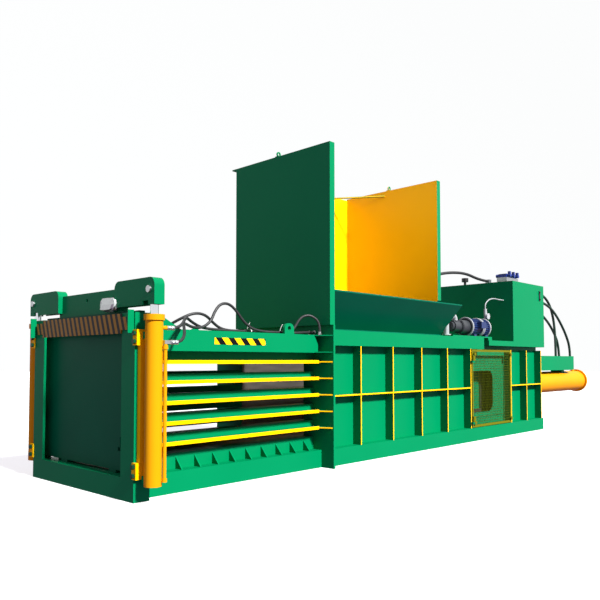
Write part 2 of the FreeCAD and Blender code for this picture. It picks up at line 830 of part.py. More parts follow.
def hopperTieBar():
    """The round bar across the hopper's rear far corner."""
    z = hopperTop - tieBarDrop
    bar = rod((tieBarEnd[0], hopperFarY - hopperSheet, z), (hopperRearX, tieBarEnd[1], z), tieBarRadius)
    return bar.cut(box((hopperRearX, hopperRearX + 50), (-halfBale, halfBale), (z - 50, z + 50)))


# ---- Ram and main cylinder ----

def ramBox():
    """The ram's body: four plates, open at both ends, with two cross plates and the rod's lugs."""
    x = (ramRestX + ramFacePlate, ramBackX)
    y = (-ramHalf, ramHalf)
    inner = box((x[0] - 5, x[1] + 5), (-ramHalf + ramPlate, ramHalf - ramPlate),
                (ramBottom + ramPlate, ramTop - ramPlate))
    web = ramPinX - ramWebBack
    parts = [box(x, y, (ramBottom, ramTop)).cut(inner),
             box((web, web + 2 * ramPlate), y, (ramBottom, ramTop))]
    z = mainAxisZ
    for s in (NEAR, FAR):
        near, far = s * ramLugY[0], s * ramLugY[1]
        cheek = box((web, ramPinX), (near, far), (z - ramLugRadius, z + ramLugRadius))
        parts.append(cheek.fuse(rod((ramPinX, near, z), (ramPinX, far, z), ramLugRadius)))
    return joined(parts).cut(rod((ramPinX, -200, z), (ramPinX, 200, z), ramPinRadius))


def ramFace():
    """The thick platen on the ram's front, with strap grooves across it."""
    face = box((ramRestX, ramRestX + ramFacePlate), (-ramHalf, ramHalf), (ramBottom, ramTop - ramBladeHeight))
    for top in slotTops:
        face = face.cut(box((ramRestX - 5, ramRestX + grooveDepth), (-ramHalf - 5, ramHalf + 5),
                            (top - slotHeight + grooveStep, top)))
    return face


def ramBlade():
    """The moving shear blade on the platen's top edge."""
    return box((ramRestX, ramRestX + ramFacePlate), (-ramHalf, ramHalf), (ramTop - ramBladeHeight, ramTop))


def mainRod():
    """The main rod, its eye in the ram and its piston in the barrel."""
    z = mainAxisZ
    shaft = rod((ramPinX + 130, 0, z), (mainPistonX, 0, z), mainRodRadius)
    piston = rod((mainPistonX, 0, z), (mainPistonX + mainPistonThick, 0, z), mainBarrelIn - runningFit)
    eye = rod((ramPinX, -ramLugY[0] + 1, z), (ramPinX, ramLugY[0] - 1, z), mainRodRadius - 5)
    neck = box((ramPinX, ramPinX + 140), (-80, 80), (z - 75, z + 75))
    bore = rod((ramPinX, -ramLugY[1], z), (ramPinX, ramLugY[1], z), ramPinRadius)
    return joined([shaft, piston, eye, neck]).cut(bore)


def mainBarrel():
    """The main cylinder's barrel with its front mounting flange and rear port."""
    z = mainAxisZ
    portX = mainBarrelEnd - 160
    outer = rod((feedLength, 0, z), (mainBarrelEnd, 0, z), mainBarrelOut)
    flange = rod((feedLength, 0, z), (mainFlangeEnd, 0, z), mainFlangeRadius)
    bore = rod((feedLength - 5, 0, z), (mainBarrelEnd + 5, 0, z), mainBarrelIn)
    port = rod((portX, 0, z + mainBarrelIn + 10), (portX, 0, z + mainBarrelOut + troughRise), 40)
    return joined([outer, flange, port]).cut(bore)


def mainCap():
    """The barrel's end cap, a disc with a spigot in the bore."""
    z = mainAxisZ
    disc = rod((mainBarrelEnd, 0, z), (mainBarrelEnd + mainCapThick, 0, z), mainCapRadius)
    spigot = rod((mainBarrelEnd - 60, 0, z), (mainBarrelEnd, 0, z), mainBarrelIn)
    return joined([disc, spigot])


def mainGland():
    """The gland through the bulkhead, in which the main rod slides."""
    z = mainAxisZ
    sleeve = rod((feedLength - 130, 0, z), (feedLength, 0, z), glandRadius)
    inside = rod((feedLength, 0, z), (feedLength + 120, 0, z), mainBarrelIn)
    collar = rod((feedLength - 130, 0, z), (feedLength - bulkheadPlate, 0, z), glandRadius + 40)
    bore = rod((feedLength - 200, 0, z), (feedLength + 200, 0, z), mainRodRadius + runningFit)
    return joined([sleeve, inside, collar]).cut(bore)


def circleBolts(x, radius, count, across, height):
    """Hexagon heads on a circle round the main cylinder's axis."""
    bolts = []
    for i in range(count):
        turn = 2 * math.pi * (i + 0.5) / count
        centre = (x, radius * math.cos(turn), mainAxisZ + radius * math.sin(turn))
        bolts.append(hexBolt(centre, (1, 0, 0), across, height))
    return bolts


def hoseTrough():
    """The open channel over the main cylinder, on saddles, that carries the rear hoses' ends."""
    x = (feedLength, troughEnd)
    y = (-troughHalf, troughHalf)
    inner = box((x[0] - 5, x[1] - sheet), (-troughHalf + sheet, troughHalf - sheet),
                (troughZ[0] + sheet, troughZ[1] + 5))
    clear = box((x[0] - 5, mainFlangeEnd + 40), (-troughHalf - 5, troughHalf + 5),
                (troughZ[0] - 5, mainAxisZ + mainFlangeRadius + 15))
    parts = [box(x, y, troughZ).cut(inner).cut(clear)]
    z = mainAxisZ
    long, wide = saddleHalf
    for at in saddleX:
        block = box((at - long, at + long), (-wide, wide), (z, troughZ[0]))
        parts.append(block.cut(rod((at - 70, 0, z), (at + 70, 0, z), mainBarrelOut + weldGap)))
    return joined(parts)


# ---- Power unit ----

def oilTank():
    """The oil tank, a welded box open inside, closed by its lid."""
    outer = box(tankX, tankY, (tankFrameTop, tankTop - 10))
    inner = box((tankX[0] + 8, tankX[1] - 8), (tankY[0] + 8, tankY[1] - 8), (tankFrameTop + 8, tankTop))
    return outer.cut(inner)


def tankLid():
    """The tank's top sheet with a raised hatch."""
    sheetTop = box(tankX, tankY, (tankTop - 10, tankTop))
    return joined([sheetTop, box(hatchX, hatchY, (tankTop, tankTop + 14))])


def tankFrame():
    """The tank's bearers on the rear roof, with a deep front edge."""
    x = tankFrameX
    z = (rearRoofTop, tankFrameTop)
    parts = [box(x, (tankY[0], tankY[0] + 100), z), box(x, (tankY[1] - 100, tankY[1]), z),
             box((x[0], x[0] + 100), tankY, z), box((x[1] - 100, x[1]), tankY, z),
             box(x, tankY, (z[1] - sheet, z[1]))]
    return joined(parts)


def levelGauge():
    """The sight gauge near the tank's rear edge."""
    y = tankY[0]
    middle = (levelX[0] + levelX[1]) / 2
    parts = [box(levelX, (y - 14, y), levelZ)]
    for z in (levelZ[0] + 25, levelZ[1] - 25):
        parts.append(rod((middle, y - 26, z), (middle, y, z), 12))
    return joined(parts)


def tankBreather():
    """The filler and breather on the lid, with its pipe."""
    x, y = breatherPlace
    return joined([rod((x, y, tankTop), (x, y, tankTop + 60), 22),
                   rod((x, y, tankTop + 60), (x, y, tankTop + 125), 58)])


def valveBlock():
    """The manifold on the lid that carries the solenoid valves."""
    return box(valveBlockX, valveBlockY, (tankTop, tankTop + valveBlockHeight))


def solenoidValves():
    """Three solenoid valves side by side on the manifold, each with a coil at both ends."""
    valves = []
    top = tankTop + valveBlockHeight
    y = (valveBlockY[0] + 20, valveBlockY[1] - 20)
    for i in range(valveCount):
        x = valveFirstX + valvePitch * i
        parts = [box((x - 45, x + 45), y, (top, top + 62)),
                 rod((x, y[0] - 60, top + 34), (x, y[0], top + 34), 28),
                 rod((x, y[1], top + 34), (x, y[1] + 60, top + 34), 28),
                 box((x - 20, x + 20), (y[0] - 55, y[0] - 15), (top + 60, top + 100))]
        valves.append(joined(parts))
    return group(valves)


def motorBase():
    """The plate under motor and pump, on the upper beam and on one foot to the tank frame."""
    top = upperBeamTop
    return joined([box(motorBaseX, motorBaseY, (top, top + motorBasePlate)),
                   box((motorFootX, motorBaseX[1]), motorBaseY, (tankFrameTop, top))])


def motorHousing():
    """The finned motor housing with feet and end shields, hollow for its rotor."""
    z = pumpAxisZ
    y = pumpAxisY
    ends = (motorX[0] + motorShield, motorX[1] - motorShield)
    shell = tube((motorX[0], y, z), (motorX[1], y, z), motorShellOuter, motorShellInner)
    shields = [rod((motorX[0], y, z), (ends[0], y, z), motorRadius),
               rod((ends[1], y, z), (motorX[1], y, z), motorRadius)]
    bore = rod((motorX[0] - 5, y, z), (motorX[1] + 5, y, z), shaftRadius + runningFit)
    fins = []
    for i in range(motorFinCount):
        fin = box(ends, (y - 3, y + 3), (z + motorShellOuter - 6, z + motorRadius))
        fins.append(fin.rotate(V(0, y, z), V(1, 0, 0), 360.0 / motorFinCount * i))
    feet = [box((at, at + 70), (y - 120, y + 120), (upperBeamTop + motorBasePlate, z - 112))
            for at in (motorX[0] + 64, motorX[1] - 120)]
    terminal = box((3560, 3700), (y - 190, y - 118), (z - 20, z + 80))
    return joined([shell] + shields + fins + feet + [terminal]).cut(bore)


def motorRotor():
    """The rotor core on its shaft, with fan and coupling, and the shaft's end in the pump."""
    z = pumpAxisZ
    y = pumpAxisY
    shaft = rod((pumpX[0] + 20, y, z), (motorX[1] + 22, y, z), shaftRadius)
    core = rod((motorX[0] + 90, y, z), (motorX[1] - 90, y, z), 92)
    hub = rod((pumpX[1] + 62, y, z), (pumpX[1] + 130, y, z), 46)
    fan = rod((motorX[1] + 6, y, z), (motorX[1] + 22, y, z), 88)
    return joined([shaft, core, hub, fan])


def motorFanCover():
    """The pressed cover over the motor's fan."""
    z = pumpAxisZ
    y = pumpAxisY
    end = motorX[1] + 50
    outer = motorRadius - 4
    inside = rod((motorX[1] - 5, y, z), (end - 4, y, z), outer - 6)
    cup = rod((motorX[1], y, z), (end, y, z), outer).cut(inside)
    slots = [box((end - 10, end + 5), (y - 90, y + 90), (z + at, z + at + 12)) for at in range(-84, 85, 24)]
    return cup.cut(slots)


def bellHousing():
    """The bell housing between motor and pump."""
    z = pumpAxisZ
    y = pumpAxisY
    bell = tube((pumpX[1], y, z), (motorX[0], y, z), 105, 70)
    slot = box((pumpX[1] + 50, motorX[0] - 50), (y - 40, y + 40), (z + 40, z + 130))
    ring = tube((motorX[0] - 16, y, z), (motorX[0], y, z), 130, 70)
    return joined([bell, ring]).cut(slot)


def hydraulicPump():
    """The vane pump's body with its port and the bore of its shaft."""
    z = pumpAxisZ
    y = pumpAxisY
    body = rod((pumpX[0], y, z), (pumpX[1] - 16, y, z), pumpRadius)
    rear = rod((pumpX[0] - 50, y, z), (pumpX[0], y, z), pumpRadius - 16)
    flange = rod((pumpX[1] - 16, y, z), (pumpX[1], y, z), pumpRadius + 16)
    port = box((pumpX[0] + 60, pumpX[0] + 170), (y - 55, y + 55), (z, z + pumpRadius + 3))
    bore = rod((pumpX[0] + 15, y, z), (pumpX[1] + 5, y, z), shaftRadius + runningFit)
    return joined([body, rear, flange, port]).cut(bore)


def suctionPipe():
    """The suction pipe, up from the pump's port, over it and down to the beam, with a flange pair."""
    y = pumpAxisY
    bottom = pumpAxisZ + pumpRadius + 3
    top = bottom + suctionRise
    right = pumpX[0] + 115
    left = suctionX
    low = upperBeamTop + motorBasePlate
    bend = suctionBend
    short = bend * (1 - math.sqrt(0.5))
    path = Part.Wire([
        Part.LineSegment(V(left, y, low), V(left, y, top - bend)).toShape(),
        Part.Arc(V(left, y, top - bend), V(left + short, y, top - short), V(left + bend, y, top)).toShape(),
        Part.LineSegment(V(left + bend, y, top), V(right - bend, y, top)).toShape(),
        Part.Arc(V(right - bend, y, top), V(right - short, y, top - short),
                 V(right, y, top - bend)).toShape(),
        Part.LineSegment(V(right, y, top - bend), V(right, y, bottom)).toShape()])
    section = Part.Wire(Part.makeCircle(suctionRadius, V(left, y, low), V(0, 0, 1)))
    pipe = path.makePipeShell([section], True, False)
    middle = (left + right) / 2
    flanges = [rod((middle - 22, y, top), (middle - 4, y, top), suctionRadius + 30),
               rod((middle + 4, y, top), (middle + 22, y, top), suctionRadius + 30),
               rod((left, y, low), (left, y, low + 16), suctionRadius + 26)]
    return joined([pipe] + flanges)


def gaugeStand():
    """The upright pressure line with its gauge, on the tank frame."""
    x, y = standX, pumpAxisY
    z = standTop - dialDrop
    post = rod((x, y, tankFrameTop), (x, y, standTop), standRadius)
    gauge = rod((x - 8, y - 60, z), (x - 8, y - 24, z), dialRadius)
    stem = rod((x, y - 30, z), (x, y, z), 10)
    return joined([post, gauge, stem])


def guardFrame():
    """The guard's flat frame with its hinge leaves and knobs."""
    y = (-feedRibOut - guardHalfThick, -feedRibOut + guardHalfThick)
    inner = box((guardX[0] + guardBar, guardX[1] - guardBar), (y[0] - 5, y[1] + 5),
                (guardZ[0] + guardBar, guardZ[1] - guardBar))
    parts = [box(guardX, y, guardZ).cut(inner)]
    bores = []
    for z in hingeHeights:
        axis = (guardX[0], guardHingeY)
        parts.append(rod(axis + (z - 40,), axis + (z + 40,), hingeKnuckleRadius))
        parts.append(box((guardX[0], guardX[0] + 60), (guardHingeY - 4, y[0]), (z - 40, z + 40)))
        bores.append(rod(axis + (z - 60,), axis + (z + 60,), hingePinRadius + runningFit))
    return joined(parts + guardKnobs()).cut(bores)


def guardMesh():
    """The mesh in the guard's frame: a sheet with square openings."""
    x = (guardX[0] + guardBar, guardX[1] - guardBar)
    z = (guardZ[0] + guardBar, guardZ[1] - guardBar)
    columns = int((x[1] - x[0] - meshBar) / meshPitch)
    rows = int((z[1] - z[0] - meshBar) / meshPitch)
    left = (x[0] + x[1] - columns * meshPitch + meshBar) / 2
    low = (z[0] + z[1] - rows * meshPitch + meshBar) / 2
    y = -feedRibOut - meshThick / 2
    c = meshPitch - meshBar
    wires = [Part.makePolygon([V(x[0], y, z[0]), V(x[1], y, z[0]), V(x[1], y, z[1]), V(x[0], y, z[1]),
                               V(x[0], y, z[0])])]
    for i in range(columns):
        for j in range(rows):
            a = left + i * meshPitch
            b = low + j * meshPitch
            wires.append(Part.makePolygon([V(a, y, b), V(a + c, y, b), V(a + c, y, b + c), V(a, y, b + c),
                                           V(a, y, b)]))
    return Part.Face(wires, "Part::FaceMakerCheese").extrude(V(0, meshThick, 0))


def hingePins():
    """The two fixed hinge pins on the rib, each on its bracket."""
    pins = []
    axis = (guardX[0], guardHingeY)
    for z in hingeHeights:
        low = (z - 70, z - 42)
        pins.append(rod(axis + (low[0],), axis + (z + 46,), hingePinRadius))
        pins.append(box((guardStart - feedRibPlate / 2, axis[0]), (axis[1] - 8, -feedRibOut), low))
        pins.append(rod(axis + (low[0],), axis + (low[1],), hingeKnuckleRadius))
    return pins


def guardKnobs():
    """Four round knobs at the guard's corners."""
    knobs = []
    front = -feedRibOut - guardHalfThick
    for x in (guardX[0] + 50, guardX[1] - 40):
        for z in (guardZ[0] + 70, guardZ[1] - 70):
            knobs.append(rod((x, front - knobReach, z), (x, front, z), knobRadius))
    return knobs


# ---- Hoses ----

def hoseTube(name, points, radius):
    """A tube along straight runs joined by tangent arcs, each as large as its two runs allow."""
    corners = [V(*p) for p in points]
    start = corners[0]
    edges = []
    radii = []
    length = 0.0
    for i in range(1, len(corners) - 1):
        before = corners[i] - corners[i - 1]
        after = corners[i + 1] - corners[i]
        turn = before.getAngle(after)
        reach = 0.45 * min(before.Length, after.Length)
        radii.append(reach / math.tan(turn / 2))
        into = corners[i] - before.normalize() * reach
        out = corners[i] + after.normalize() * reach
        bisector = (into + out) * 0.5 - corners[i]
        centreGap = radii[-1] / math.cos(turn / 2)
        middle = corners[i] + bisector.normalize() * (centreGap - radii[-1])
        edges.append(Part.LineSegment(start, into).toShape())
        edges.append(Part.Arc(into, middle, out).toShape())
        length += (into - start).Length + radii[-1] * turn
        start = out
    edges.append(Part.LineSegment(start, corners[-1]).toShape())
    length += (corners[-1] - start).Length
    direction = corners[1] - corners[0]
    section = Part.Wire(Part.makeCircle(radius, corners[0], direction))
    solid = Part.Wire(edges).makePipeShell([section], True, False)
    least = min(radii)
    print(name, "length", round(length), "least radius", round(least), "or", round(least / radius / 2, 1),
          "diameters, volume ratio", round(solid.Volume / (math.pi * radius ** 2 * length), 4))
    return solid


def steelFitting(start, end, radius):
    """A swaged end fitting: a sleeve with a hexagon nut at its seat."""
    along = (V(*end) - V(*start)).normalize()
    nut = hexBolt(start, (along.x, along.y, along.z), radius * 3.0, (V(*end) - V(*start)).Length * 0.45)
    return nut.fuse(rod(start, end, radius * 1.25)).removeSplitter()


# The route of each hose, from its first fitting to its last.
nearTopRoute = [(-2331, -1105, gatePortZ), (-2230, -1105, gatePortZ), (-2130, -1060, 1520),
                (-2040, -970, 1575), (-1930, -850, 1600), (-1790, -750, 1565), (-1640, -705, 1518),
                (-1440, -694, 1507), (-1200, -699, 1504), (-950, -692, 1505), (-700, -700, 1504),
                (-440, -694, 1506), (-372, -728, 1546), (-307, -763, 1678), (-220, -809, 1714),
                (-137, -853, 1670), (-102, -872, 1595), (-102, -872, 1525)]
nearFootRoute = [(-2330, -1160, 1356), (-2240, -1160, 1356), (-2150, -1115, 1405), (-2080, -1020, 1480),
                 (-2010, -910, 1535), (-1920, -815, 1545), (-1790, -765, 1512), (-1650, -745, 1520),
                 (-1550, -742, 1590), (-1505, -740, 1690), (-1425, -738, 1770), (-1315, -738, 1772),
                 (-1220, -740, 1700), (-1130, -742, 1600), (-1020, -746, 1530), (-860, -740, 1506),
                 (-680, -748, 1504), (-500, -741, 1506), (-340, -746, 1507), (-190, -735, gateHoseEndZ),
                 (-60, -735, gateHoseEndZ)]
farTopRoute = [(-2331, 1105, gatePortZ), (-2230, 1105, gatePortZ), (-2125, 1050, 1530), (-2045, 930, 1580),
               (-1995, 770, 1560), (-1972, 590, 1512), (-1965, 380, 1487), (-1960, 150, 1485),
               (-1955, -90, 1485), (-1945, -330, 1488), (-1915, -520, 1530), (-1830, -640, 1610),
               (-1705, -680, 1665), (-1575, -685, 1650), (-1475, -670, 1580), (-1370, -660, 1522),
               (-1220, -650, 1505), (-1020, -656, 1504), (-800, -648, 1506), (-560, -655, 1504),
               (-340, -650, 1508), (-190, -660, gateHoseEndZ), (-60, -660, gateHoseEndZ)]
rearRouteA = [(rearHoseStartX, -150, 2380), (6180, -150, 2380), (6520, -148, 2490), (6950, -145, 2568),
              (7420, -140, 2585), (7880, -136, 2430), (8130, -133, 2080), (8215, -130, 1600),
              (8215, -130, rearHoseEndZ)]
rearRouteB = [(rearHoseStartX, -230, 2290), (6180, -230, 2290), (6520, -226, 2378), (6960, -220, 2410),
              (7480, -212, 2365), (7900, -206, 2255), (8300, -200, 2015), (8640, -190, 1740),
              (8860, -178, 1480), (8860, -178, rearHoseEndZ)]
rearRouteC = [(rearHoseStartX, -70, 2200), (6180, -70, 2200), (6520, -68, 2285), (6960, -66, 2310),
              (7400, -64, 2240), (7860, -62, 2090), (8270, -60, 1840), (8560, -60, 1520),
              (8560, -60, rearHoseEndZ)]
archRoute = [(2450, -400, 1640), (2450, -400, 2000), (2640, -400, 2320), (3020, -402, 2500),
             (3500, -406, 2590), (3980, -412, 2620), (4400, -420, 2552), (4690, -420, 2552)]
steelLineRoute = [(standX, pumpAxisY, standTop), (standX, pumpAxisY, 2105), (4150, pumpAxisY, 2180),
                  (4310, pumpAxisY, 2212), (4490, pumpAxisY, 2205), (tankX[0], pumpAxisY, 2205)]


def hoseFittings():
    """Every steel end fitting, and the blocks that the hoses run between."""
    foot = nearFootRoute[0]
    bits = [box((gateCylinderX + 48, gateCylinderX + 111), (foot[1] - 14, foot[1] + 14),
                (foot[2] - 15, foot[2] + 16))]
    for route in (nearFootRoute, farTopRoute):
        end = route[-1]
        bits.append(steelFitting((-flangePlate, end[1], end[2]), end, gateHoseRadius))
    end = nearTopRoute[-1]
    bits.append(steelFitting((end[0], end[1], chamberBeamTop), end, gateHoseRadius))
    rear = [box((tankX[1], hoseBlockX), hoseBlockY, hoseBlockZ)]
    for route in (rearRouteA, rearRouteB, rearRouteC):
        start, end = route[0], route[-1]
        rear.append(steelFitting((hoseBlockX, start[1], start[2]), start, rearHoseRadius))
        bits.append(steelFitting((end[0], end[1], troughZ[0] + sheet), end, rearHoseRadius))
    bits.append(joined(rear))
    x, y, half, top = roofBlock
    bits.append(box((x - half, x + half), (y - half, y + half), (ceiling + roofPlate, top)))
    bits.append(box(lidBlockX, lidBlockY, (tankTop, lidBlockTop)))
    return group(bits)


nodes["chamber_base"] = chamberBase()
nodes["floor_plates"] = group([
    box((chamberFrontX, -flangePlate), (-halfBale, halfBale), (baseHeight, floorTop)),
    box((0, feedLength - bulkheadPlate), (-linerOut, linerOut), (baseHeight, floorTop))])
nodes["chamber_bars"] = bothSides(chamberBars())
nodes["chamber_ribs"] = bothSides(chamberRibs())
nodes["chamber_beam_near"] = chamberBeam().fuse(cornerBrace()).removeSplitter()
nodes["chamber_beam_far"] = mirrored(chamberBeam())
nodes["chamber_roof"] = chamberRoof()
nodes["joint_flange"] = jointFlange()
nodes["gate_frame"] = gateFrame()
nodes["hazard_board"] = hazardBoard()
nodes["gate_panel"] = gatePanel()
nodes["gate_head"] = gateHead()
nodes["gate_rods"] = bothSides(gateRod())
nodes["gate_pins"] = gatePins()
nodes["gate_barrels"] = bothSides(gateBarrel())
nodes["gate_glands"] = bothSides(gateGland())
nodes["gate_guides"] = bothSides(gateGuide())
nodes["gate_side_pipes"] = bothSides(gateSidePipe())
nodes["hex_bolts"] = group(guideBolts() + circleBolts(mainFlangeEnd, mainBarrelOut + 42, 12, 46.0, 26.0)
                           + circleBolts(mainBarrelEnd + mainCapThick, mainBarrelOut - 15, 10, 41.0, 24.0))
nodes["feed_base"] = sill((0, feedLength), feedRibOut,
                          [crossPlate / 2] + feedRibs + [channelCrossX] + rearRibs)
nodes["feed_wall_near"] = joined([feedWall(True), windowFrame()])
nodes["feed_wall_far"] = mirrored(feedWall(False))
nodes["feed_liners"] = group([feedLiner(True), mirrored(feedLiner(False))])
nodes["feed_beams"] = bothSides(upperBeam())
nodes["rear_roof"] = rearRoof()
nodes["bulkhead"] = bulkhead()
nodes["fixed_blade"] = fixedBlade()
nodes["hopper_front_wall"] = hopperFrontWall()
nodes["hopper_far_wall"] = joined([hopperFarWall(), hopperTieBar()])
nodes["hopper_rear_wall"] = hopperRearWall()
nodes["hopper_chute"] = hopperChute()
nodes["ram_box"] = ramBox()
nodes["ram_platen"] = ramFace()
nodes["ram_blade"] = ramBlade()
nodes["main_rod"] = mainRod()
nodes["ram_pin"] = rod((ramPinX, -135, mainAxisZ), (ramPinX, 135, mainAxisZ), ramPinRadius)
nodes["main_barrel"] = joined([mainBarrel(), mainCap()])
nodes["main_gland"] = mainGland()
nodes["hose_trough"] = hoseTrough()
nodes["oil_tank"] = oilTank()
nodes["tank_lid"] = tankLid()
nodes["tank_frame"] = tankFrame()
nodes["tank_fittings"] = group([levelGauge(), tankBreather()])
nodes["valve_block"] = valveBlock()
nodes["solenoid_valves"] = solenoidValves()
nodes["motor_base"] = motorBase()
nodes["motor_housing"] = joined([motorHousing(), motorFanCover()])
nodes["motor_rotor"] = motorRotor()
nodes["hydraulic_pump"] = group([hydraulicPump(), bellHousing()])
nodes["pump_lines"] = group([suctionPipe(), gaugeStand(),
                             hoseTube("steel_line", steelLineRoute, steelLineRadius)])
nodes["guard_frame"] = guardFrame()
nodes["guard_mesh"] = guardMesh()
nodes["hose_fittings"] = hoseFittings()
nodes["gate_hose_near_top"] = hoseTube("gate_hose_near_top", nearTopRoute, gateHoseRadius)
nodes["gate_hose_near_foot"] = hoseTube("gate_hose_near_foot", nearFootRoute, gateHoseRadius)
nodes["gate_hose_far_top"] = hoseTube("gate_hose_far_top", farTopRoute, gateHoseRadius)
nodes["rear_hose_a"] = hoseTube("rear_hose_a", rearRouteA, rearHoseRadius)
nodes["rear_hose_b"] = hoseTube("rear_hose_b", rearRouteB, rearHoseRadius)
nodes["rear_hose_c"] = hoseTube("rear_hose_c", rearRouteC, rearHoseRadius)
nodes["tank_hose"] = hoseTube("tank_hose", archRoute, archHoseRadius)

print(len(nodes), "nodes")
os.makedirs("parts", exist_ok=True)
for name, shape in nodes.items():
    shape.exportStep("parts/" + name + ".step")
    print(name, len(shape.Solids), shape.isValid(), round(shape.Volume / 1e6, 1))
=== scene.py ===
import math
import bmesh
import bpy
import numpy as np
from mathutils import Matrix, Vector


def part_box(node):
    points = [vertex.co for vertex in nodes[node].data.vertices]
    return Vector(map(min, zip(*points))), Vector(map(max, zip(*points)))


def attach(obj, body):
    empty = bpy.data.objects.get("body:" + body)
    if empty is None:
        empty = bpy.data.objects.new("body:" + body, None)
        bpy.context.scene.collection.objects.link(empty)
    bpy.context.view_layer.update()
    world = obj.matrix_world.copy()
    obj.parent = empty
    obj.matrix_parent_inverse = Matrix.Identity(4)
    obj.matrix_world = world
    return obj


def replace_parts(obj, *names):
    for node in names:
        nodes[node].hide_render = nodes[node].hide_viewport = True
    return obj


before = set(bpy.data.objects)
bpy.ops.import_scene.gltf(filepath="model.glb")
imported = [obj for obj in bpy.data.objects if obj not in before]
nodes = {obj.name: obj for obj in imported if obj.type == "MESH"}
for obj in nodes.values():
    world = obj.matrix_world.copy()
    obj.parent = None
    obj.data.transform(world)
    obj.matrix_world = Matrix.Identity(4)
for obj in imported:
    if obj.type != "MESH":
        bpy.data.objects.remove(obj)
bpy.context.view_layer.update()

print("frame loaded:", len(nodes), "nodes")


def toLinear(hexText):
    # sRGB hex to linear: below 0.04045 divided by 12.92, above it ((c + 0.055) / 1.055) to the power 2.4
    values = []
    for i in (0, 2, 4):
        c = int(hexText[i:i + 2], 16) / 255
        values.append(c / 12.92 if c <= 0.04045 else ((c + 0.055) / 1.055) ** 2.4)
    return (values[0], values[1], values[2], 1.0)


def addNode(tree, kind, settings=None, links=None):
    # one node, its sockets or properties set by name or number, its inputs linked from (node, output)
    node = tree.nodes.new(kind)
    for key, value in (settings or {}).items():
        if isinstance(key, int) or key in node.inputs:
            node.inputs[key].default_value = value
        else:
            setattr(node, key, value)
    for key, (source, output) in (links or {}).items():
        tree.links.new(source.outputs[output], node.inputs[key])
    return node


def newMaterial(name, settings):
    material = bpy.data.materials.new(name)
    material.use_nodes = True
    tree = material.node_tree
    shader = tree.nodes["Principled BSDF"]
    for key, value in settings.items():
        shader.inputs[key].default_value = value
    return material, tree, shader


def meshPiece(name, points, faces, material, smooth=False):
    mesh = bpy.data.meshes.new(name)
    mesh.from_pydata(np.asarray(points, dtype=float).reshape(-1, 3).tolist(), [], np.asarray(faces).tolist())
    shell = bmesh.new()
    shell.from_mesh(mesh)
    bmesh.ops.remove_doubles(shell, verts=shell.verts, dist=0.00001)
    bmesh.ops.recalc_face_normals(shell, faces=shell.faces)
    shell.to_mesh(mesh)
    shell.free()
    mesh.materials.append(material)
    mesh.polygons.foreach_set("use_smooth", np.full(len(mesh.polygons), smooth))
    mesh.update()
    piece = bpy.data.objects.new(name, mesh)
    bpy.context.scene.collection.objects.link(piece)
    return piece


def blockArrays(lows, highs):
    # boxes from two arrays of corners: each corner takes low or high by the bits of its number
    lows = np.atleast_2d(lows)
    highs = np.atleast_2d(highs)
    bits = np.array([[i & 1, (i >> 1) & 1, (i >> 2) & 1] for i in range(8)])
    points = lows[:, None, :] * (1 - bits) + highs[:, None, :] * bits
    quads = np.array([[0, 2, 3, 1], [4, 5, 7, 6], [0, 1, 5, 4], [2, 6, 7, 3], [0, 4, 6, 2], [1, 3, 7, 5]])
    faces = quads[None] + 8 * np.arange(len(lows))[:, None, None]
    return points.reshape(-1, 3), faces.reshape(-1, 4)


def turnedArrays(profile, centre, axis, segments=32):
    # a profile of (radius, height) pairs turned about an axis:
    # point = centre + axis * height + radius * (cos, sin)
    axis = np.array(Vector(axis).normalized())
    side = np.array(Vector(axis).orthogonal().normalized())
    other = np.cross(axis, side)
    turn = np.linspace(0, 2 * math.pi, segments, endpoint=False)
    ring = np.cos(turn)[:, None] * side + np.sin(turn)[:, None] * other
    profile = np.array(profile)
    points = np.asarray(centre) + profile[:, 1, None, None] * axis + profile[:, 0, None, None] * ring
    rows = len(profile)
    i, j = np.meshgrid(np.arange(rows - 1), np.arange(segments), indexing="ij")
    k = (j + 1) % segments
    low = i * segments
    high = low + segments
    faces = np.stack([low + j, low + k, high + k, high + j], -1)
    return points.reshape(-1, 3), faces.reshape(-1, 4)


def wireArrays(lines, sideA, sideB, radius):
    # square wires: every station of every line gets four corners, radius along two fixed directions
    sideA = np.array(sideA, dtype=float)
    sideB = np.array(sideB, dtype=float)
    points = lines[:, :, None, :] + np.array([sideA, sideB, -sideA, -sideB]) * radius
    count, stations = lines.shape[:2]
    i, j, k = np.meshgrid(np.arange(count), np.arange(stations - 1), np.arange(4), indexing="ij")
    first = (i * stations + j) * 4
    after = (k + 1) % 4
    sides = np.stack([first + k, first + after, first + 4 + after, first + 4 + k], -1).reshape(-1, 4)
    starts = np.arange(count)[:, None] * stations * 4
    ends = np.concatenate([starts + [3, 2, 1, 0], starts + (stations - 1) * 4 + [0, 1, 2, 3]])
    return points.reshape(-1, 3), np.concatenate([sides, ends])


def boxy(value):
    # a sine or cosine pushed out towards a square: its size to the power 0.6, its sign kept
    return np.sign(value) * np.abs(value) ** 0.6


def bandArrays(centre, half, width, thick):
    # a flat strap round a bundle: a rounded rectangle from boxy cos and sin, its thickness outside
    steps = 36
    turn = np.linspace(0, 2 * math.pi, steps, endpoint=False)
    across = boxy(np.cos(turn))
    up = boxy(np.sin(turn))
    edge = np.array([(0, -0.5), (0, 0.5), (1, 0.5), (1, -0.5)])
    grow = edge[:, 0, None] * thick
    points = np.stack([centre[0] + edge[:, 1, None] * width + 0 * across,
                       centre[1] + (half[0] + grow) * across, centre[2] + (half[1] + grow) * up], -1)
    k, j = np.meshgrid(np.arange(4), np.arange(steps), indexing="ij")
    after = (j + 1) % steps
    other = (k + 1) % 4
    faces = np.stack([k * steps + j, other * steps + j, other * steps + after, k * steps + after], -1)
    return points.reshape(-1, 3), faces.reshape(-1, 4)


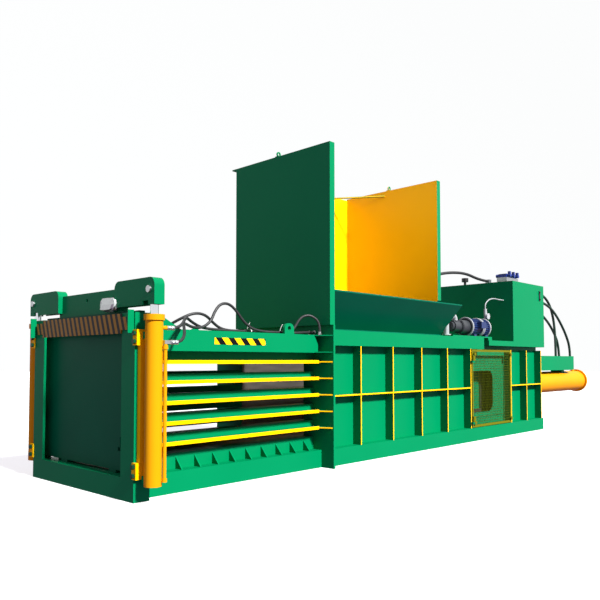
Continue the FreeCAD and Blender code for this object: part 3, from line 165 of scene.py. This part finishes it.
def joinArrays(parts):
    points = []
    faces = []
    start = 0
    for somePoints, someFaces in parts:
        points.append(somePoints)
        faces += (np.asarray(someFaces) + start).tolist()
        start += len(somePoints)
    return np.concatenate(points), faces


def paintSurface(tree, shader, colour, dark, patchSize, peelDepth):
    # sprayed enamel: slow shade changes over patchSize metres and a faint orange peel
    place = addNode(tree, "ShaderNodeTexCoord")
    patch = addNode(tree, "ShaderNodeTexNoise", {"Scale": 1 / patchSize, "Detail": 4.0},
                    {"Vector": (place, "Object")})
    shade = addNode(tree, "ShaderNodeMix", {"data_type": "RGBA", 6: toLinear(dark), 7: toLinear(colour)},
                    {0: (patch, "Fac")})
    # orange peel is about 3 mm across on the real paint, drawn at 14 mm so that it shows
    peel = addNode(tree, "ShaderNodeTexNoise", {"Scale": 70.0, "Detail": 2.0}, {"Vector": (place, "Object")})
    bump = addNode(tree, "ShaderNodeBump", {"Strength": 0.10, "Distance": peelDepth},
                   {"Height": (peel, "Fac")})
    rough = addNode(tree, "ShaderNodeMapRange", {"To Min": 0.30, "To Max": 0.46}, {"Value": (patch, "Fac")})
    tree.links.new(rough.outputs["Result"], shader.inputs["Roughness"])
    tree.links.new(bump.outputs["Normal"], shader.inputs["Normal"])
    return place, shade


def sideMask(tree, place, axis, low, high):
    # 1 where the absolute coordinate along an axis lies between low and high metres
    split = addNode(tree, "ShaderNodeSeparateXYZ", {}, {0: (place, "Object")})
    size = addNode(tree, "ShaderNodeMath", {"operation": "ABSOLUTE"}, {0: (split, axis)})
    above = addNode(tree, "ShaderNodeMath", {"operation": "GREATER_THAN", 1: low}, {0: (size, 0)})
    below = addNode(tree, "ShaderNodeMath", {"operation": "LESS_THAN", 1: high}, {0: (size, 0)})
    return addNode(tree, "ShaderNodeMath", {"operation": "MULTIPLY"}, {0: (above, 0), 1: (below, 0)})


def machineEnamel(name, colour, dark, edge=None, edgeFrom=0.0, edgeTo=9.0, flatOnly=False, gloss=0.04):
    # alkyd enamel on welded plate: saturated, soft highlights, slightly uneven
    material, tree, shader = newMaterial(name, {"Metallic": 0.0, "IOR": 1.5, "Specular IOR Level": gloss})
    place, shade = paintSurface(tree, shader, colour, dark, 0.9, 0.002)
    if edge is None:
        tree.links.new(shade.outputs[2], shader.inputs["Base Color"])
        return material
    mask = sideMask(tree, place, 1, edgeFrom, edgeTo)
    if flatOnly:
        # level faces stay in the first colour
        shape = addNode(tree, "ShaderNodeNewGeometry")
        split = addNode(tree, "ShaderNodeSeparateXYZ", {}, {0: (shape, "True Normal")})
        level = addNode(tree, "ShaderNodeMath", {"operation": "ABSOLUTE"}, {0: (split, 2)})
        upright = addNode(tree, "ShaderNodeMath", {"operation": "LESS_THAN", 1: 0.7}, {0: (level, 0)})
        mask = addNode(tree, "ShaderNodeMath", {"operation": "MULTIPLY"}, {0: (mask, 0), 1: (upright, 0)})
    both = addNode(tree, "ShaderNodeMix", {"data_type": "RGBA", 7: toLinear(edge)},
                   {0: (mask, 0), 6: (shade, 2)})
    tree.links.new(both.outputs[2], shader.inputs["Base Color"])
    return material


def insideEnamel(name, inside, insideDark, outside, outsideDark, axis):
    # a hopper wall: the face that looks towards the material is yellow, its edges and back are green
    material, tree, shader = newMaterial(name, {"Metallic": 0.0, "IOR": 1.5, "Specular IOR Level": 0.12})
    place, shade = paintSurface(tree, shader, inside, insideDark, 0.9, 0.002)
    patch = addNode(tree, "ShaderNodeTexNoise", {"Scale": 1.3, "Detail": 4.0}, {"Vector": (place, "Object")})
    back = addNode(tree, "ShaderNodeMix",
                   {"data_type": "RGBA", 6: toLinear(outsideDark), 7: toLinear(outside)}, {0: (patch, "Fac")})
    shape = addNode(tree, "ShaderNodeNewGeometry")
    split = addNode(tree, "ShaderNodeSeparateXYZ", {}, {0: (shape, "True Normal")})
    facing = addNode(tree, "ShaderNodeMath", {"operation": "LESS_THAN", 1: -0.5}, {0: (split, axis)})
    both = addNode(tree, "ShaderNodeMix", {"data_type": "RGBA"},
                   {0: (facing, 0), 6: (back, 2), 7: (shade, 2)})
    tree.links.new(both.outputs[2], shader.inputs["Base Color"])
    return material


def hazardEnamel(name, yellow, black, lean, pitch, across):
    # slanted stripes: the fraction of (across coordinate + lean * height) / pitch is black below one half
    material, tree, shader = newMaterial(name, {"Metallic": 0.0, "IOR": 1.5, "Roughness": 0.4,
                                                "Specular IOR Level": 0.12})
    place = addNode(tree, "ShaderNodeTexCoord")
    split = addNode(tree, "ShaderNodeSeparateXYZ", {}, {0: (place, "Object")})
    slant = addNode(tree, "ShaderNodeMath", {"operation": "MULTIPLY", 1: lean}, {0: (split, 2)})
    total = addNode(tree, "ShaderNodeMath", {"operation": "ADD"}, {0: (split, across), 1: (slant, 0)})
    step = addNode(tree, "ShaderNodeMath", {"operation": "DIVIDE", 1: pitch}, {0: (total, 0)})
    part = addNode(tree, "ShaderNodeMath", {"operation": "FRACT"}, {0: (step, 0)})
    mask = addNode(tree, "ShaderNodeMath", {"operation": "LESS_THAN", 1: 0.5}, {0: (part, 0)})
    stripes = addNode(tree, "ShaderNodeMix", {"data_type": "RGBA", 6: toLinear(yellow), 7: toLinear(black)},
                      {0: (mask, 0)})
    tree.links.new(stripes.outputs[2], shader.inputs["Base Color"])
    return material


def metalFinish(name, colour, rough, grain, grainAcross=(1, 1, 1), metallic=1.0):
    # bare or plated steel: grain metres wide streaks in roughness
    material, tree, shader = newMaterial(name, {"Metallic": metallic, "Base Color": toLinear(colour)})
    place = addNode(tree, "ShaderNodeTexCoord")
    scaled = addNode(tree, "ShaderNodeMapping", {"Scale": grainAcross}, {"Vector": (place, "Object")})
    noise = addNode(tree, "ShaderNodeTexNoise", {"Scale": 1 / grain, "Detail": 5.0}, {"Vector": (scaled, 0)})
    spread = addNode(tree, "ShaderNodeMapRange", {"To Min": rough * 0.7, "To Max": min(1.0, rough * 1.4)},
                     {"Value": (noise, "Fac")})
    bump = addNode(tree, "ShaderNodeBump", {"Strength": 0.12, "Distance": 0.001}, {"Height": (noise, "Fac")})
    tree.links.new(spread.outputs["Result"], shader.inputs["Roughness"])
    tree.links.new(bump.outputs["Normal"], shader.inputs["Normal"])
    return material


def hoseCover(name, colour, rough):
    # wrapped rubber hose cover: fine cloth-wrap marks, 4 mm apart on the real hose, drawn at 8 mm
    material, tree, shader = newMaterial(name, {"Metallic": 0.0, "IOR": 1.52})
    place = addNode(tree, "ShaderNodeTexCoord")
    noise = addNode(tree, "ShaderNodeTexNoise", {"Scale": 120.0, "Detail": 3.0},
                    {"Vector": (place, "Object")})
    flecks = addNode(tree, "ShaderNodeMapRange", {"From Min": 0.62, "From Max": 0.9, "To Max": 0.5},
                     {"Value": (noise, "Fac")})
    shade = addNode(tree, "ShaderNodeMix", {"data_type": "RGBA", 6: toLinear(colour), 7: toLinear("6a6c6c")},
                    {0: (flecks, "Result")})
    bump = addNode(tree, "ShaderNodeBump", {"Strength": 0.2, "Distance": 0.001}, {"Height": (noise, "Fac")})
    shader.inputs["Roughness"].default_value = rough
    tree.links.new(shade.outputs[2], shader.inputs["Base Color"])
    tree.links.new(bump.outputs["Normal"], shader.inputs["Normal"])
    return material


finish = {"green": "008350", "greenDark": "007a4a", "yellow": "ffc800", "yellowDark": "f6be00",
          "cylinderYellow": "d8990a", "cylinderDark": "cd8f08", "mainYellow": "eb9d14", "mainDark": "e0920f"}
greenEnamel = machineEnamel("greenEnamel", finish["green"], finish["greenDark"])
yellowEnamel = machineEnamel("yellowEnamel", finish["yellow"], finish["yellowDark"])
cylinderEnamel = machineEnamel("liftCylinderEnamel", finish["cylinderYellow"], finish["cylinderDark"])
mainEnamel = machineEnamel("mainCylinderEnamel", finish["mainYellow"], finish["mainDark"])
wallEnamel = machineEnamel("greenEnamelYellowRibEdges", finish["green"], finish["greenDark"],
                           finish["yellow"], 0.8865, 0.8885)
shelfEnamel = machineEnamel("greenEnamelYellowShelfEdges", finish["green"], finish["greenDark"],
                            finish["yellow"], 0.8415, 1.2, True)
rearWallEnamel = insideEnamel("rearWallYellowInside", finish["yellow"], finish["yellowDark"],
                              finish["green"], finish["greenDark"], 0)
farWallEnamel = insideEnamel("farWallYellowInside", finish["yellow"], finish["yellowDark"],
                             finish["green"], finish["greenDark"], 1)
# painted shade: the chute's outer side is given a darker green for the shade on its sloping face
shadedChuteEnamel = machineEnamel("paintedShadeGreenChute", "00664a", "005a42", gloss=0.05)
# painted shade: the gate's green is darker for the shade on its end face
shadedGateEnamel = machineEnamel("paintedShadeGreenGate", "006a46", "005639")
boltEnamel = machineEnamel("overpaintedBolts", "04432c", "033824", gloss=0.3)
# painted shade: the board's yellow stripes are darkened to a dull brown yellow
shadedHazardPaint = hazardEnamel("hazardBoardStripesPaintedShade", "9a7414", "0d0e0c", -0.35, 0.0826, 1)
labelFilm = hazardEnamel("hazardLabelFilm", "ffc800", "0a0a0a", 0.88, 0.16, 0)
# painted wire cloth and guard frame in a darker olive yellow
wireEnamel = machineEnamel("oliveYellowWire", "58600e", "424e0c")
guardEnamel = machineEnamel("oliveYellowFrame", "6e6c0e", "5c620c")
# AR plate rubbed bright by waste: dark scale with brighter streaks along the press
wearPlate = metalFinish("rubbedWearPlate", "6e6862", 0.55, 0.05, (0.15, 1, 1))
# zinc plated and machined steel: even grey, broad soft highlights
zincSteel = metalFinish("zincPlatedSteel", "b9bcbd", 0.34, 0.02)
# hard chrome on ground rods: near mirror
hardChrome = metalFinish("hardChromeRod", "dfe2e6", 0.10, 0.03)
blackCasting = machineEnamel("sootyPaintedCasting", "3a3e42", "24272a", gloss=0.5)
motorEnamel = machineEnamel("blueMotorEnamel", "1d3468", "14264f", gloss=0.5)
valveEnamel = machineEnamel("blueValveCoat", "12348c", "0d2a75", gloss=0.5)
pipeEnamel = machineEnamel("lightGreyPipeEnamel", "a9afaf", "999f9f", gloss=0.5)
blackPlastic = machineEnamel("blackMouldedPlastic", "101112", "0c0d0e", gloss=0.5)
hoseGrey = hoseCover("greyBlackHoseCover", "1c1d1e", 0.55)
hoseGreen = hoseCover("darkGreenHoseCover", "06301f", 0.5)
tieNylon = newMaterial("whiteTieNylon", {"Base Color": toLinear("d8d8d4"), "Roughness": 0.4})[0]
print("materials made")

nodeFinish = {
    wallEnamel: ("feed_wall_near", "feed_wall_far"),
    shelfEnamel: ("chamber_ribs",),
    shadedHazardPaint: ("hazard_board",),
    cylinderEnamel: ("gate_barrels", "gate_glands", "gate_side_pipes"),
    mainEnamel: ("main_barrel",),
    shadedChuteEnamel: ("hopper_chute",),
    shadedGateEnamel: ("gate_panel",),
    boltEnamel: ("hex_bolts",),
    yellowEnamel: ("gate_guides",),
    guardEnamel: ("guard_frame", "guard_mesh"),
    farWallEnamel: ("hopper_far_wall",),
    rearWallEnamel: ("hopper_rear_wall",),
    wearPlate: ("floor_plates", "feed_liners", "ram_platen"),
    zincSteel: ("gate_pins", "fixed_blade", "ram_blade", "ram_pin", "main_gland", "valve_block",
                "motor_rotor", "hose_fittings"),
    hardChrome: ("gate_rods", "main_rod"),
    blackPlastic: ("tank_fittings",),
    valveEnamel: ("solenoid_valves",),
    motorEnamel: ("motor_housing",),
    blackCasting: ("hydraulic_pump",),
    pipeEnamel: ("pump_lines",),
}
painted = set()
for material, names in nodeFinish.items():
    for name in names:
        nodes[name].material_slots[0].material = material
        painted.add(name)
for name in set(nodes) - painted:
    nodes[name].material_slots[0].material = greenEnamel
print("finishes assigned")


def makeHose(name, route, radius, material):
    # a smooth spline with the route's points as its control points
    curve = bpy.data.curves.new(name, "CURVE")
    curve.dimensions = "3D"
    curve.bevel_depth = radius
    curve.bevel_resolution = 5
    curve.resolution_u = 10
    curve.use_fill_caps = True
    spline = curve.splines.new("NURBS")
    spline.points.add(len(route) - 1)
    controls = np.hstack([np.array(route, dtype=float), np.ones((len(route), 1))])
    spline.points.foreach_set("co", controls.ravel())
    spline.order_u = 3
    spline.use_endpoint_u = True
    curve.materials.append(material)
    hose = bpy.data.objects.new(name, curve)
    bpy.context.scene.collection.objects.link(hose)
    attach(hose, "frame")
    return hose


gateHoses = {
    "nearTop": [(-2.331, -1.105, 1.480), (-2.230, -1.105, 1.480), (-2.130, -1.060, 1.520),
                (-2.040, -0.970, 1.575), (-1.930, -0.850, 1.600), (-1.790, -0.750, 1.565),
                (-1.640, -0.705, 1.518), (-1.440, -0.694, 1.507), (-1.200, -0.699, 1.504),
                (-0.950, -0.692, 1.505), (-0.700, -0.700, 1.504), (-0.440, -0.694, 1.506),
                (-0.372, -0.728, 1.546), (-0.307, -0.763, 1.678), (-0.220, -0.809, 1.714),
                (-0.137, -0.853, 1.670), (-0.102, -0.872, 1.595), (-0.102, -0.872, 1.525)],
    "nearFoot": [(-2.330, -1.160, 1.356), (-2.240, -1.160, 1.356), (-2.150, -1.115, 1.405),
                 (-2.080, -1.020, 1.480), (-2.010, -0.910, 1.535), (-1.920, -0.815, 1.545),
                 (-1.790, -0.765, 1.512), (-1.650, -0.745, 1.520), (-1.550, -0.742, 1.590),
                 (-1.505, -0.740, 1.690), (-1.425, -0.738, 1.770), (-1.315, -0.738, 1.772),
                 (-1.220, -0.740, 1.700), (-1.130, -0.742, 1.600), (-1.020, -0.746, 1.530),
                 (-0.860, -0.740, 1.506), (-0.680, -0.748, 1.504), (-0.500, -0.741, 1.506),
                 (-0.340, -0.746, 1.507), (-0.190, -0.735, 1.520), (-0.060, -0.735, 1.520)],
    "farTop": [(-2.331, 1.105, 1.480), (-2.230, 1.105, 1.480), (-2.125, 1.050, 1.530),
               (-2.045, 0.930, 1.580), (-1.995, 0.770, 1.560), (-1.972, 0.590, 1.512),
               (-1.965, 0.380, 1.487), (-1.960, 0.150, 1.485), (-1.955, -0.090, 1.485),
               (-1.945, -0.330, 1.488), (-1.915, -0.520, 1.530), (-1.830, -0.640, 1.610),
               (-1.705, -0.680, 1.665), (-1.575, -0.685, 1.650), (-1.475, -0.670, 1.580),
               (-1.370, -0.660, 1.522), (-1.220, -0.650, 1.505), (-1.020, -0.656, 1.504),
               (-0.800, -0.648, 1.506), (-0.560, -0.655, 1.504), (-0.340, -0.650, 1.508),
               (-0.190, -0.660, 1.520), (-0.060, -0.660, 1.520)],
}
rearHoses = {
    "a": [(5.985, -0.150, 2.380), (6.180, -0.150, 2.380), (6.520, -0.148, 2.490), (6.950, -0.145, 2.568),
          (7.420, -0.140, 2.585), (7.880, -0.136, 2.430), (8.130, -0.133, 2.080), (8.215, -0.130, 1.600),
          (8.215, -0.130, 1.200)],
    "b": [(5.985, -0.230, 2.290), (6.180, -0.230, 2.290), (6.520, -0.226, 2.378), (6.960, -0.220, 2.410),
          (7.480, -0.212, 2.365), (7.900, -0.206, 2.255), (8.300, -0.200, 2.015), (8.640, -0.190, 1.740),
          (8.860, -0.178, 1.480), (8.860, -0.178, 1.200)],
    "c": [(5.985, -0.070, 2.200), (6.180, -0.070, 2.200), (6.520, -0.068, 2.285), (6.960, -0.066, 2.310),
          (7.400, -0.064, 2.240), (7.860, -0.062, 2.090), (8.270, -0.060, 1.840), (8.560, -0.060, 1.520),
          (8.560, -0.060, 1.200)],
}
archRoute = [(2.450, -0.400, 1.640), (2.450, -0.400, 2.000), (2.640, -0.400, 2.320),
             (3.020, -0.402, 2.500), (3.500, -0.406, 2.590), (3.980, -0.412, 2.620),
             (4.400, -0.420, 2.552), (4.690, -0.420, 2.552)]
gateHoseRadius = 0.014
rearHoseRadius = 0.025
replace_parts(makeHose("gateHoseNearTop", gateHoses["nearTop"], gateHoseRadius, hoseGrey),
            "gate_hose_near_top")
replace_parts(makeHose("gateHoseNearFoot", gateHoses["nearFoot"], gateHoseRadius, hoseGrey),
            "gate_hose_near_foot")
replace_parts(makeHose("gateHoseFarTop", gateHoses["farTop"], gateHoseRadius, hoseGrey),
            "gate_hose_far_top")
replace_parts(makeHose("rearHoseA", rearHoses["a"], rearHoseRadius, hoseGreen), "rear_hose_a")
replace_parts(makeHose("rearHoseB", rearHoses["b"], rearHoseRadius, hoseGreen), "rear_hose_b")
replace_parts(makeHose("rearHoseC", rearHoses["c"], rearHoseRadius, hoseGreen), "rear_hose_c")
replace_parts(makeHose("tankHose", archRoute, 0.0225, hoseGrey), "tank_hose")
print("hoses made")

# crimped steel sleeves where the gate hoses leave their ports
sleeve = {"long": 0.075, "bore": 0.0135, "wall": 0.020, "groove": 0.0175}
sleeveProfile = [(sleeve["bore"], 0.0), (sleeve["wall"], 0.0), (sleeve["wall"], 0.02),
                 (sleeve["groove"], 0.024), (sleeve["wall"], 0.030), (sleeve["wall"], 0.045),
                 (sleeve["groove"], 0.050), (sleeve["wall"], 0.056), (sleeve["wall"], sleeve["long"]),
                 (sleeve["bore"], sleeve["long"]), (sleeve["bore"], 0.0)]
sleeves = [turnedArrays(sleeveProfile, gateHoses[which][0], (1, 0, 0), 20)
           for which in ("nearTop", "nearFoot", "farTop")]
hoseSleeves = meshPiece("gateHoseSleeves", *joinArrays(sleeves), zincSteel)
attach(hoseSleeves, "frame")

# nylon straps round the bundle of gate hoses, each with its cut tail standing up
tie = {"along": (-1.04, -0.56), "middle": (-0.698, 1.5055), "half": (0.068, 0.0165), "wide": 0.009,
       "thick": 0.0016, "tail": 0.075, "tailHalf": 0.0035}
strapParts = []
for along in tie["along"]:
    strapParts.append(bandArrays((along, *tie["middle"]), tie["half"], tie["wide"], tie["thick"]))
    rise = np.linspace(0, 1, 8)
    tailLine = np.stack([along + 0.3 * tie["tail"] * rise ** 2, tie["middle"][0] - 0.02 * rise,
                         tie["middle"][1] + tie["half"][1] + tie["tail"] * rise], -1)
    strapParts.append(wireArrays(tailLine[None], (1, 0, 0), (0, 1, 0), tie["tailHalf"]))
hoseStraps = meshPiece("hoseStraps", *joinArrays(strapParts), tieNylon)
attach(hoseStraps, "frame")

# woven wire cloth in the guard: y swings by half a wire, cos(pi * distance / pitch), the other way in
# every second wire; the real cloth has about 25 mm openings, drawn at 40 mm so that it shows
cloth = {"pitch": 0.040, "wire": 0.0026, "swing": 0.0026}
clothLow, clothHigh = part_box("guard_mesh")
clothY = (clothLow[1] + clothHigh[1]) / 2
clothX = np.arange(clothLow[0], clothHigh[0], cloth["pitch"])
clothZ = np.arange(clothLow[2], clothHigh[2], cloth["pitch"])


def clothLines(places, stations, upright):
    # one row of points per wire, its stations half a pitch apart
    row = np.arange(len(places))[:, None]
    weave = cloth["swing"] * np.cos(math.pi * (stations - stations[0]) / cloth["pitch"] + math.pi * row)
    fixed = places[:, None] + 0 * stations
    run = 0 * places[:, None] + stations
    if upright:
        return np.stack([fixed, clothY + weave, run], -1)
    return np.stack([run, clothY - weave, fixed], -1)


stationsZ = np.arange(clothLow[2], clothHigh[2], cloth["pitch"] / 2)
stationsX = np.arange(clothLow[0], clothHigh[0], cloth["pitch"] / 2)
guardCloth = meshPiece("guardWireCloth", *joinArrays([
    wireArrays(clothLines(clothX, stationsZ, True), (1, 0, 0), (0, 1, 0), cloth["wire"]),
    wireArrays(clothLines(clothZ, stationsX, False), (0, 1, 0), (0, 0, 1), cloth["wire"])]), wireEnamel)
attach(guardCloth, "guard")
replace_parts(guardCloth, "guard_mesh")
print("guard cloth made")

# slanted yellow and black film on the near top beam
label = {"low": (-1.584, -0.8362, 1.358), "high": (-0.910, -0.8338, 1.424)}
beamLabel = meshPiece("hazardLabel", *blockArrays(label["low"], label["high"]), labelFilm)
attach(beamLabel, "frame")

# limit switch on the gate's head in its crumpled silver wrap: a rounded box from boxy cos and sin, whose
# size swings by the fold along both turns
switch = {"centre": (-2.5000, -0.455, 1.702), "half": (0.036, 0.125, 0.062), "fold": 0.22}
turnU, turnV = np.meshgrid(np.linspace(0, 2 * math.pi, 12, endpoint=False),
                           np.linspace(-math.pi / 2, math.pi / 2, 9))
folds = 1 + switch["fold"] * np.sin(5 * turnU + 3 * turnV) * np.cos(4 * turnV + turnU)


wrapShape = np.stack([boxy(np.cos(turnV)) * boxy(np.cos(turnU)) * folds, boxy(np.sin(turnV)),
                      boxy(np.cos(turnV)) * boxy(np.sin(turnU)) * folds], -1)
wrapPoints = wrapShape * switch["half"] + switch["centre"]
i, j = np.meshgrid(np.arange(8), np.arange(12), indexing="ij")
wrapFaces = np.stack([i * 12 + j, (i + 1) * 12 + j, (i + 1) * 12 + (j + 1) % 12, i * 12 + (j + 1) % 12], -1)
gateSwitch = meshPiece("gateSwitch", wrapPoints, wrapFaces.reshape(-1, 4), zincSteel)
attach(gateSwitch, "gate")

# bolted flange pair and end shield of the motor
flange = {"at": (3.384, 3.700, 3.742, 3.925), "middle": (-0.720, 1.713), "outer": 0.150, "inner": 0.128,
          "thick": 0.024, "chamfer": 0.004}
flangeRim = flange["outer"] - flange["chamfer"]
flangeProfile = [(flange["inner"], 0.0), (flangeRim, 0.0), (flange["outer"], flange["chamfer"]),
                 (flange["outer"], flange["thick"] - flange["chamfer"]), (flangeRim, flange["thick"]),
                 (flange["inner"], flange["thick"]), (flange["inner"], 0.0)]
motorFlanges = meshPiece("motorFlanges", *joinArrays([
    turnedArrays(flangeProfile, (at, *flange["middle"]), (1, 0, 0), 48) for at in flange["at"]]), pipeEnamel)
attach(motorFlanges, "frame")
print("small fittings made")


# the sun's direction, its strength and softness, and the fill from the sky are matched to the paint
stage = {"dome": 70.0, "floor": "c2ccc6", "keyStrength": 8.0, "fillStrength": 1.0,
         "floorGlow": 0.72, "keyFrom": (0.0, -0.78, 0.62), "keySpread": 0.12,
         "fill": (0.36, 0.26, 0.37, 1)}
ringTurn = np.linspace(0, 2 * math.pi, 96, endpoint=False)
domeTurn = np.linspace(0, 1.5, 24)
domeProfile = np.stack([stage["dome"] * np.cos(domeTurn), stage["dome"] * np.sin(domeTurn) - 0.5], -1)
domePoints, domeFaces = turnedArrays(domeProfile, (0, 0, 0), (0, 0, 1), 96)
domeMaterial = newMaterial("paleBackdrop", {"Base Color": (0, 0, 0, 1), "Roughness": 1.0,
                                            "Emission Color": toLinear("fbfcfc"),
                                            "Emission Strength": 1.0})[0]
dome = meshPiece("backdrop", domePoints, domeFaces, domeMaterial, True)
dome.visible_diffuse = False
dome.visible_shadow = False
floorMaterial = newMaterial("paleFloor", {"Base Color": toLinear(stage["floor"]), "Roughness": 0.9,
                                          "Specular IOR Level": 0.1, "Emission Color": toLinear("fbfcfc"),
                                          "Emission Strength": stage["floorGlow"]})[0]
floorRing = np.stack([stage["dome"] * np.cos(ringTurn), stage["dome"] * np.sin(ringTurn), 0 * ringTurn], -1)
floor = meshPiece("floor", floorRing, [list(range(96))], floorMaterial)
floor.visible_diffuse = False
floor.visible_glossy = False

key = bpy.data.lights.new("key", "SUN")
key.energy = stage["keyStrength"]
key.angle = stage["keySpread"]
keyObject = bpy.data.objects.new("key", key)
keyObject.rotation_euler = Vector(stage["keyFrom"]).to_track_quat("Z", "Y").to_euler()
bpy.context.scene.collection.objects.link(keyObject)

# a soft lamp over the open hopper lights its yellow walls
lamp = {"watts": 110.0, "cone": 48, "edge": 0.5, "size": 0.4, "place": (0.5, -2.5, 4.6),
        "from": (-1.5, -2.5, 1.8)}
hopperLamp = bpy.data.lights.new("hopperLamp", "SPOT")
hopperLamp.energy = lamp["watts"]
hopperLamp.spot_size = math.radians(lamp["cone"])
hopperLamp.spot_blend = lamp["edge"]
hopperLamp.shadow_soft_size = lamp["size"]
hopperLampObject = bpy.data.objects.new("hopperLamp", hopperLamp)
hopperLampObject.location = lamp["place"]
hopperLampObject.rotation_euler = Vector(lamp["from"]).to_track_quat("Z", "Y").to_euler()
bpy.context.scene.collection.objects.link(hopperLampObject)

world = bpy.data.worlds.new("fill")
bpy.context.scene.world = world
world.use_nodes = True
world.node_tree.nodes["Background"].inputs["Color"].default_value = stage["fill"]
world.node_tree.nodes["Background"].inputs["Strength"].default_value = stage["fillStrength"]

view = {"place": (-5.641, -5.810, 1.200), "turn": -46.5, "tilt": 2.5, "lens": 39.64,
        "shift": (0.0013, 0.053)}
cameraData = bpy.data.cameras.new("camera")
cameraData.lens = view["lens"]
cameraData.shift_x, cameraData.shift_y = view["shift"]
cameraData.clip_end = 500.0
camera = bpy.data.objects.new("camera", cameraData)
camera.location = view["place"]
camera.rotation_euler = (math.radians(90 + view["tilt"]), 0, math.radians(view["turn"]))
bpy.context.scene.collection.objects.link(camera)
bpy.context.scene.camera = camera
bpy.context.scene.view_settings.view_transform = "Standard"

print("stage, lights and camera set")
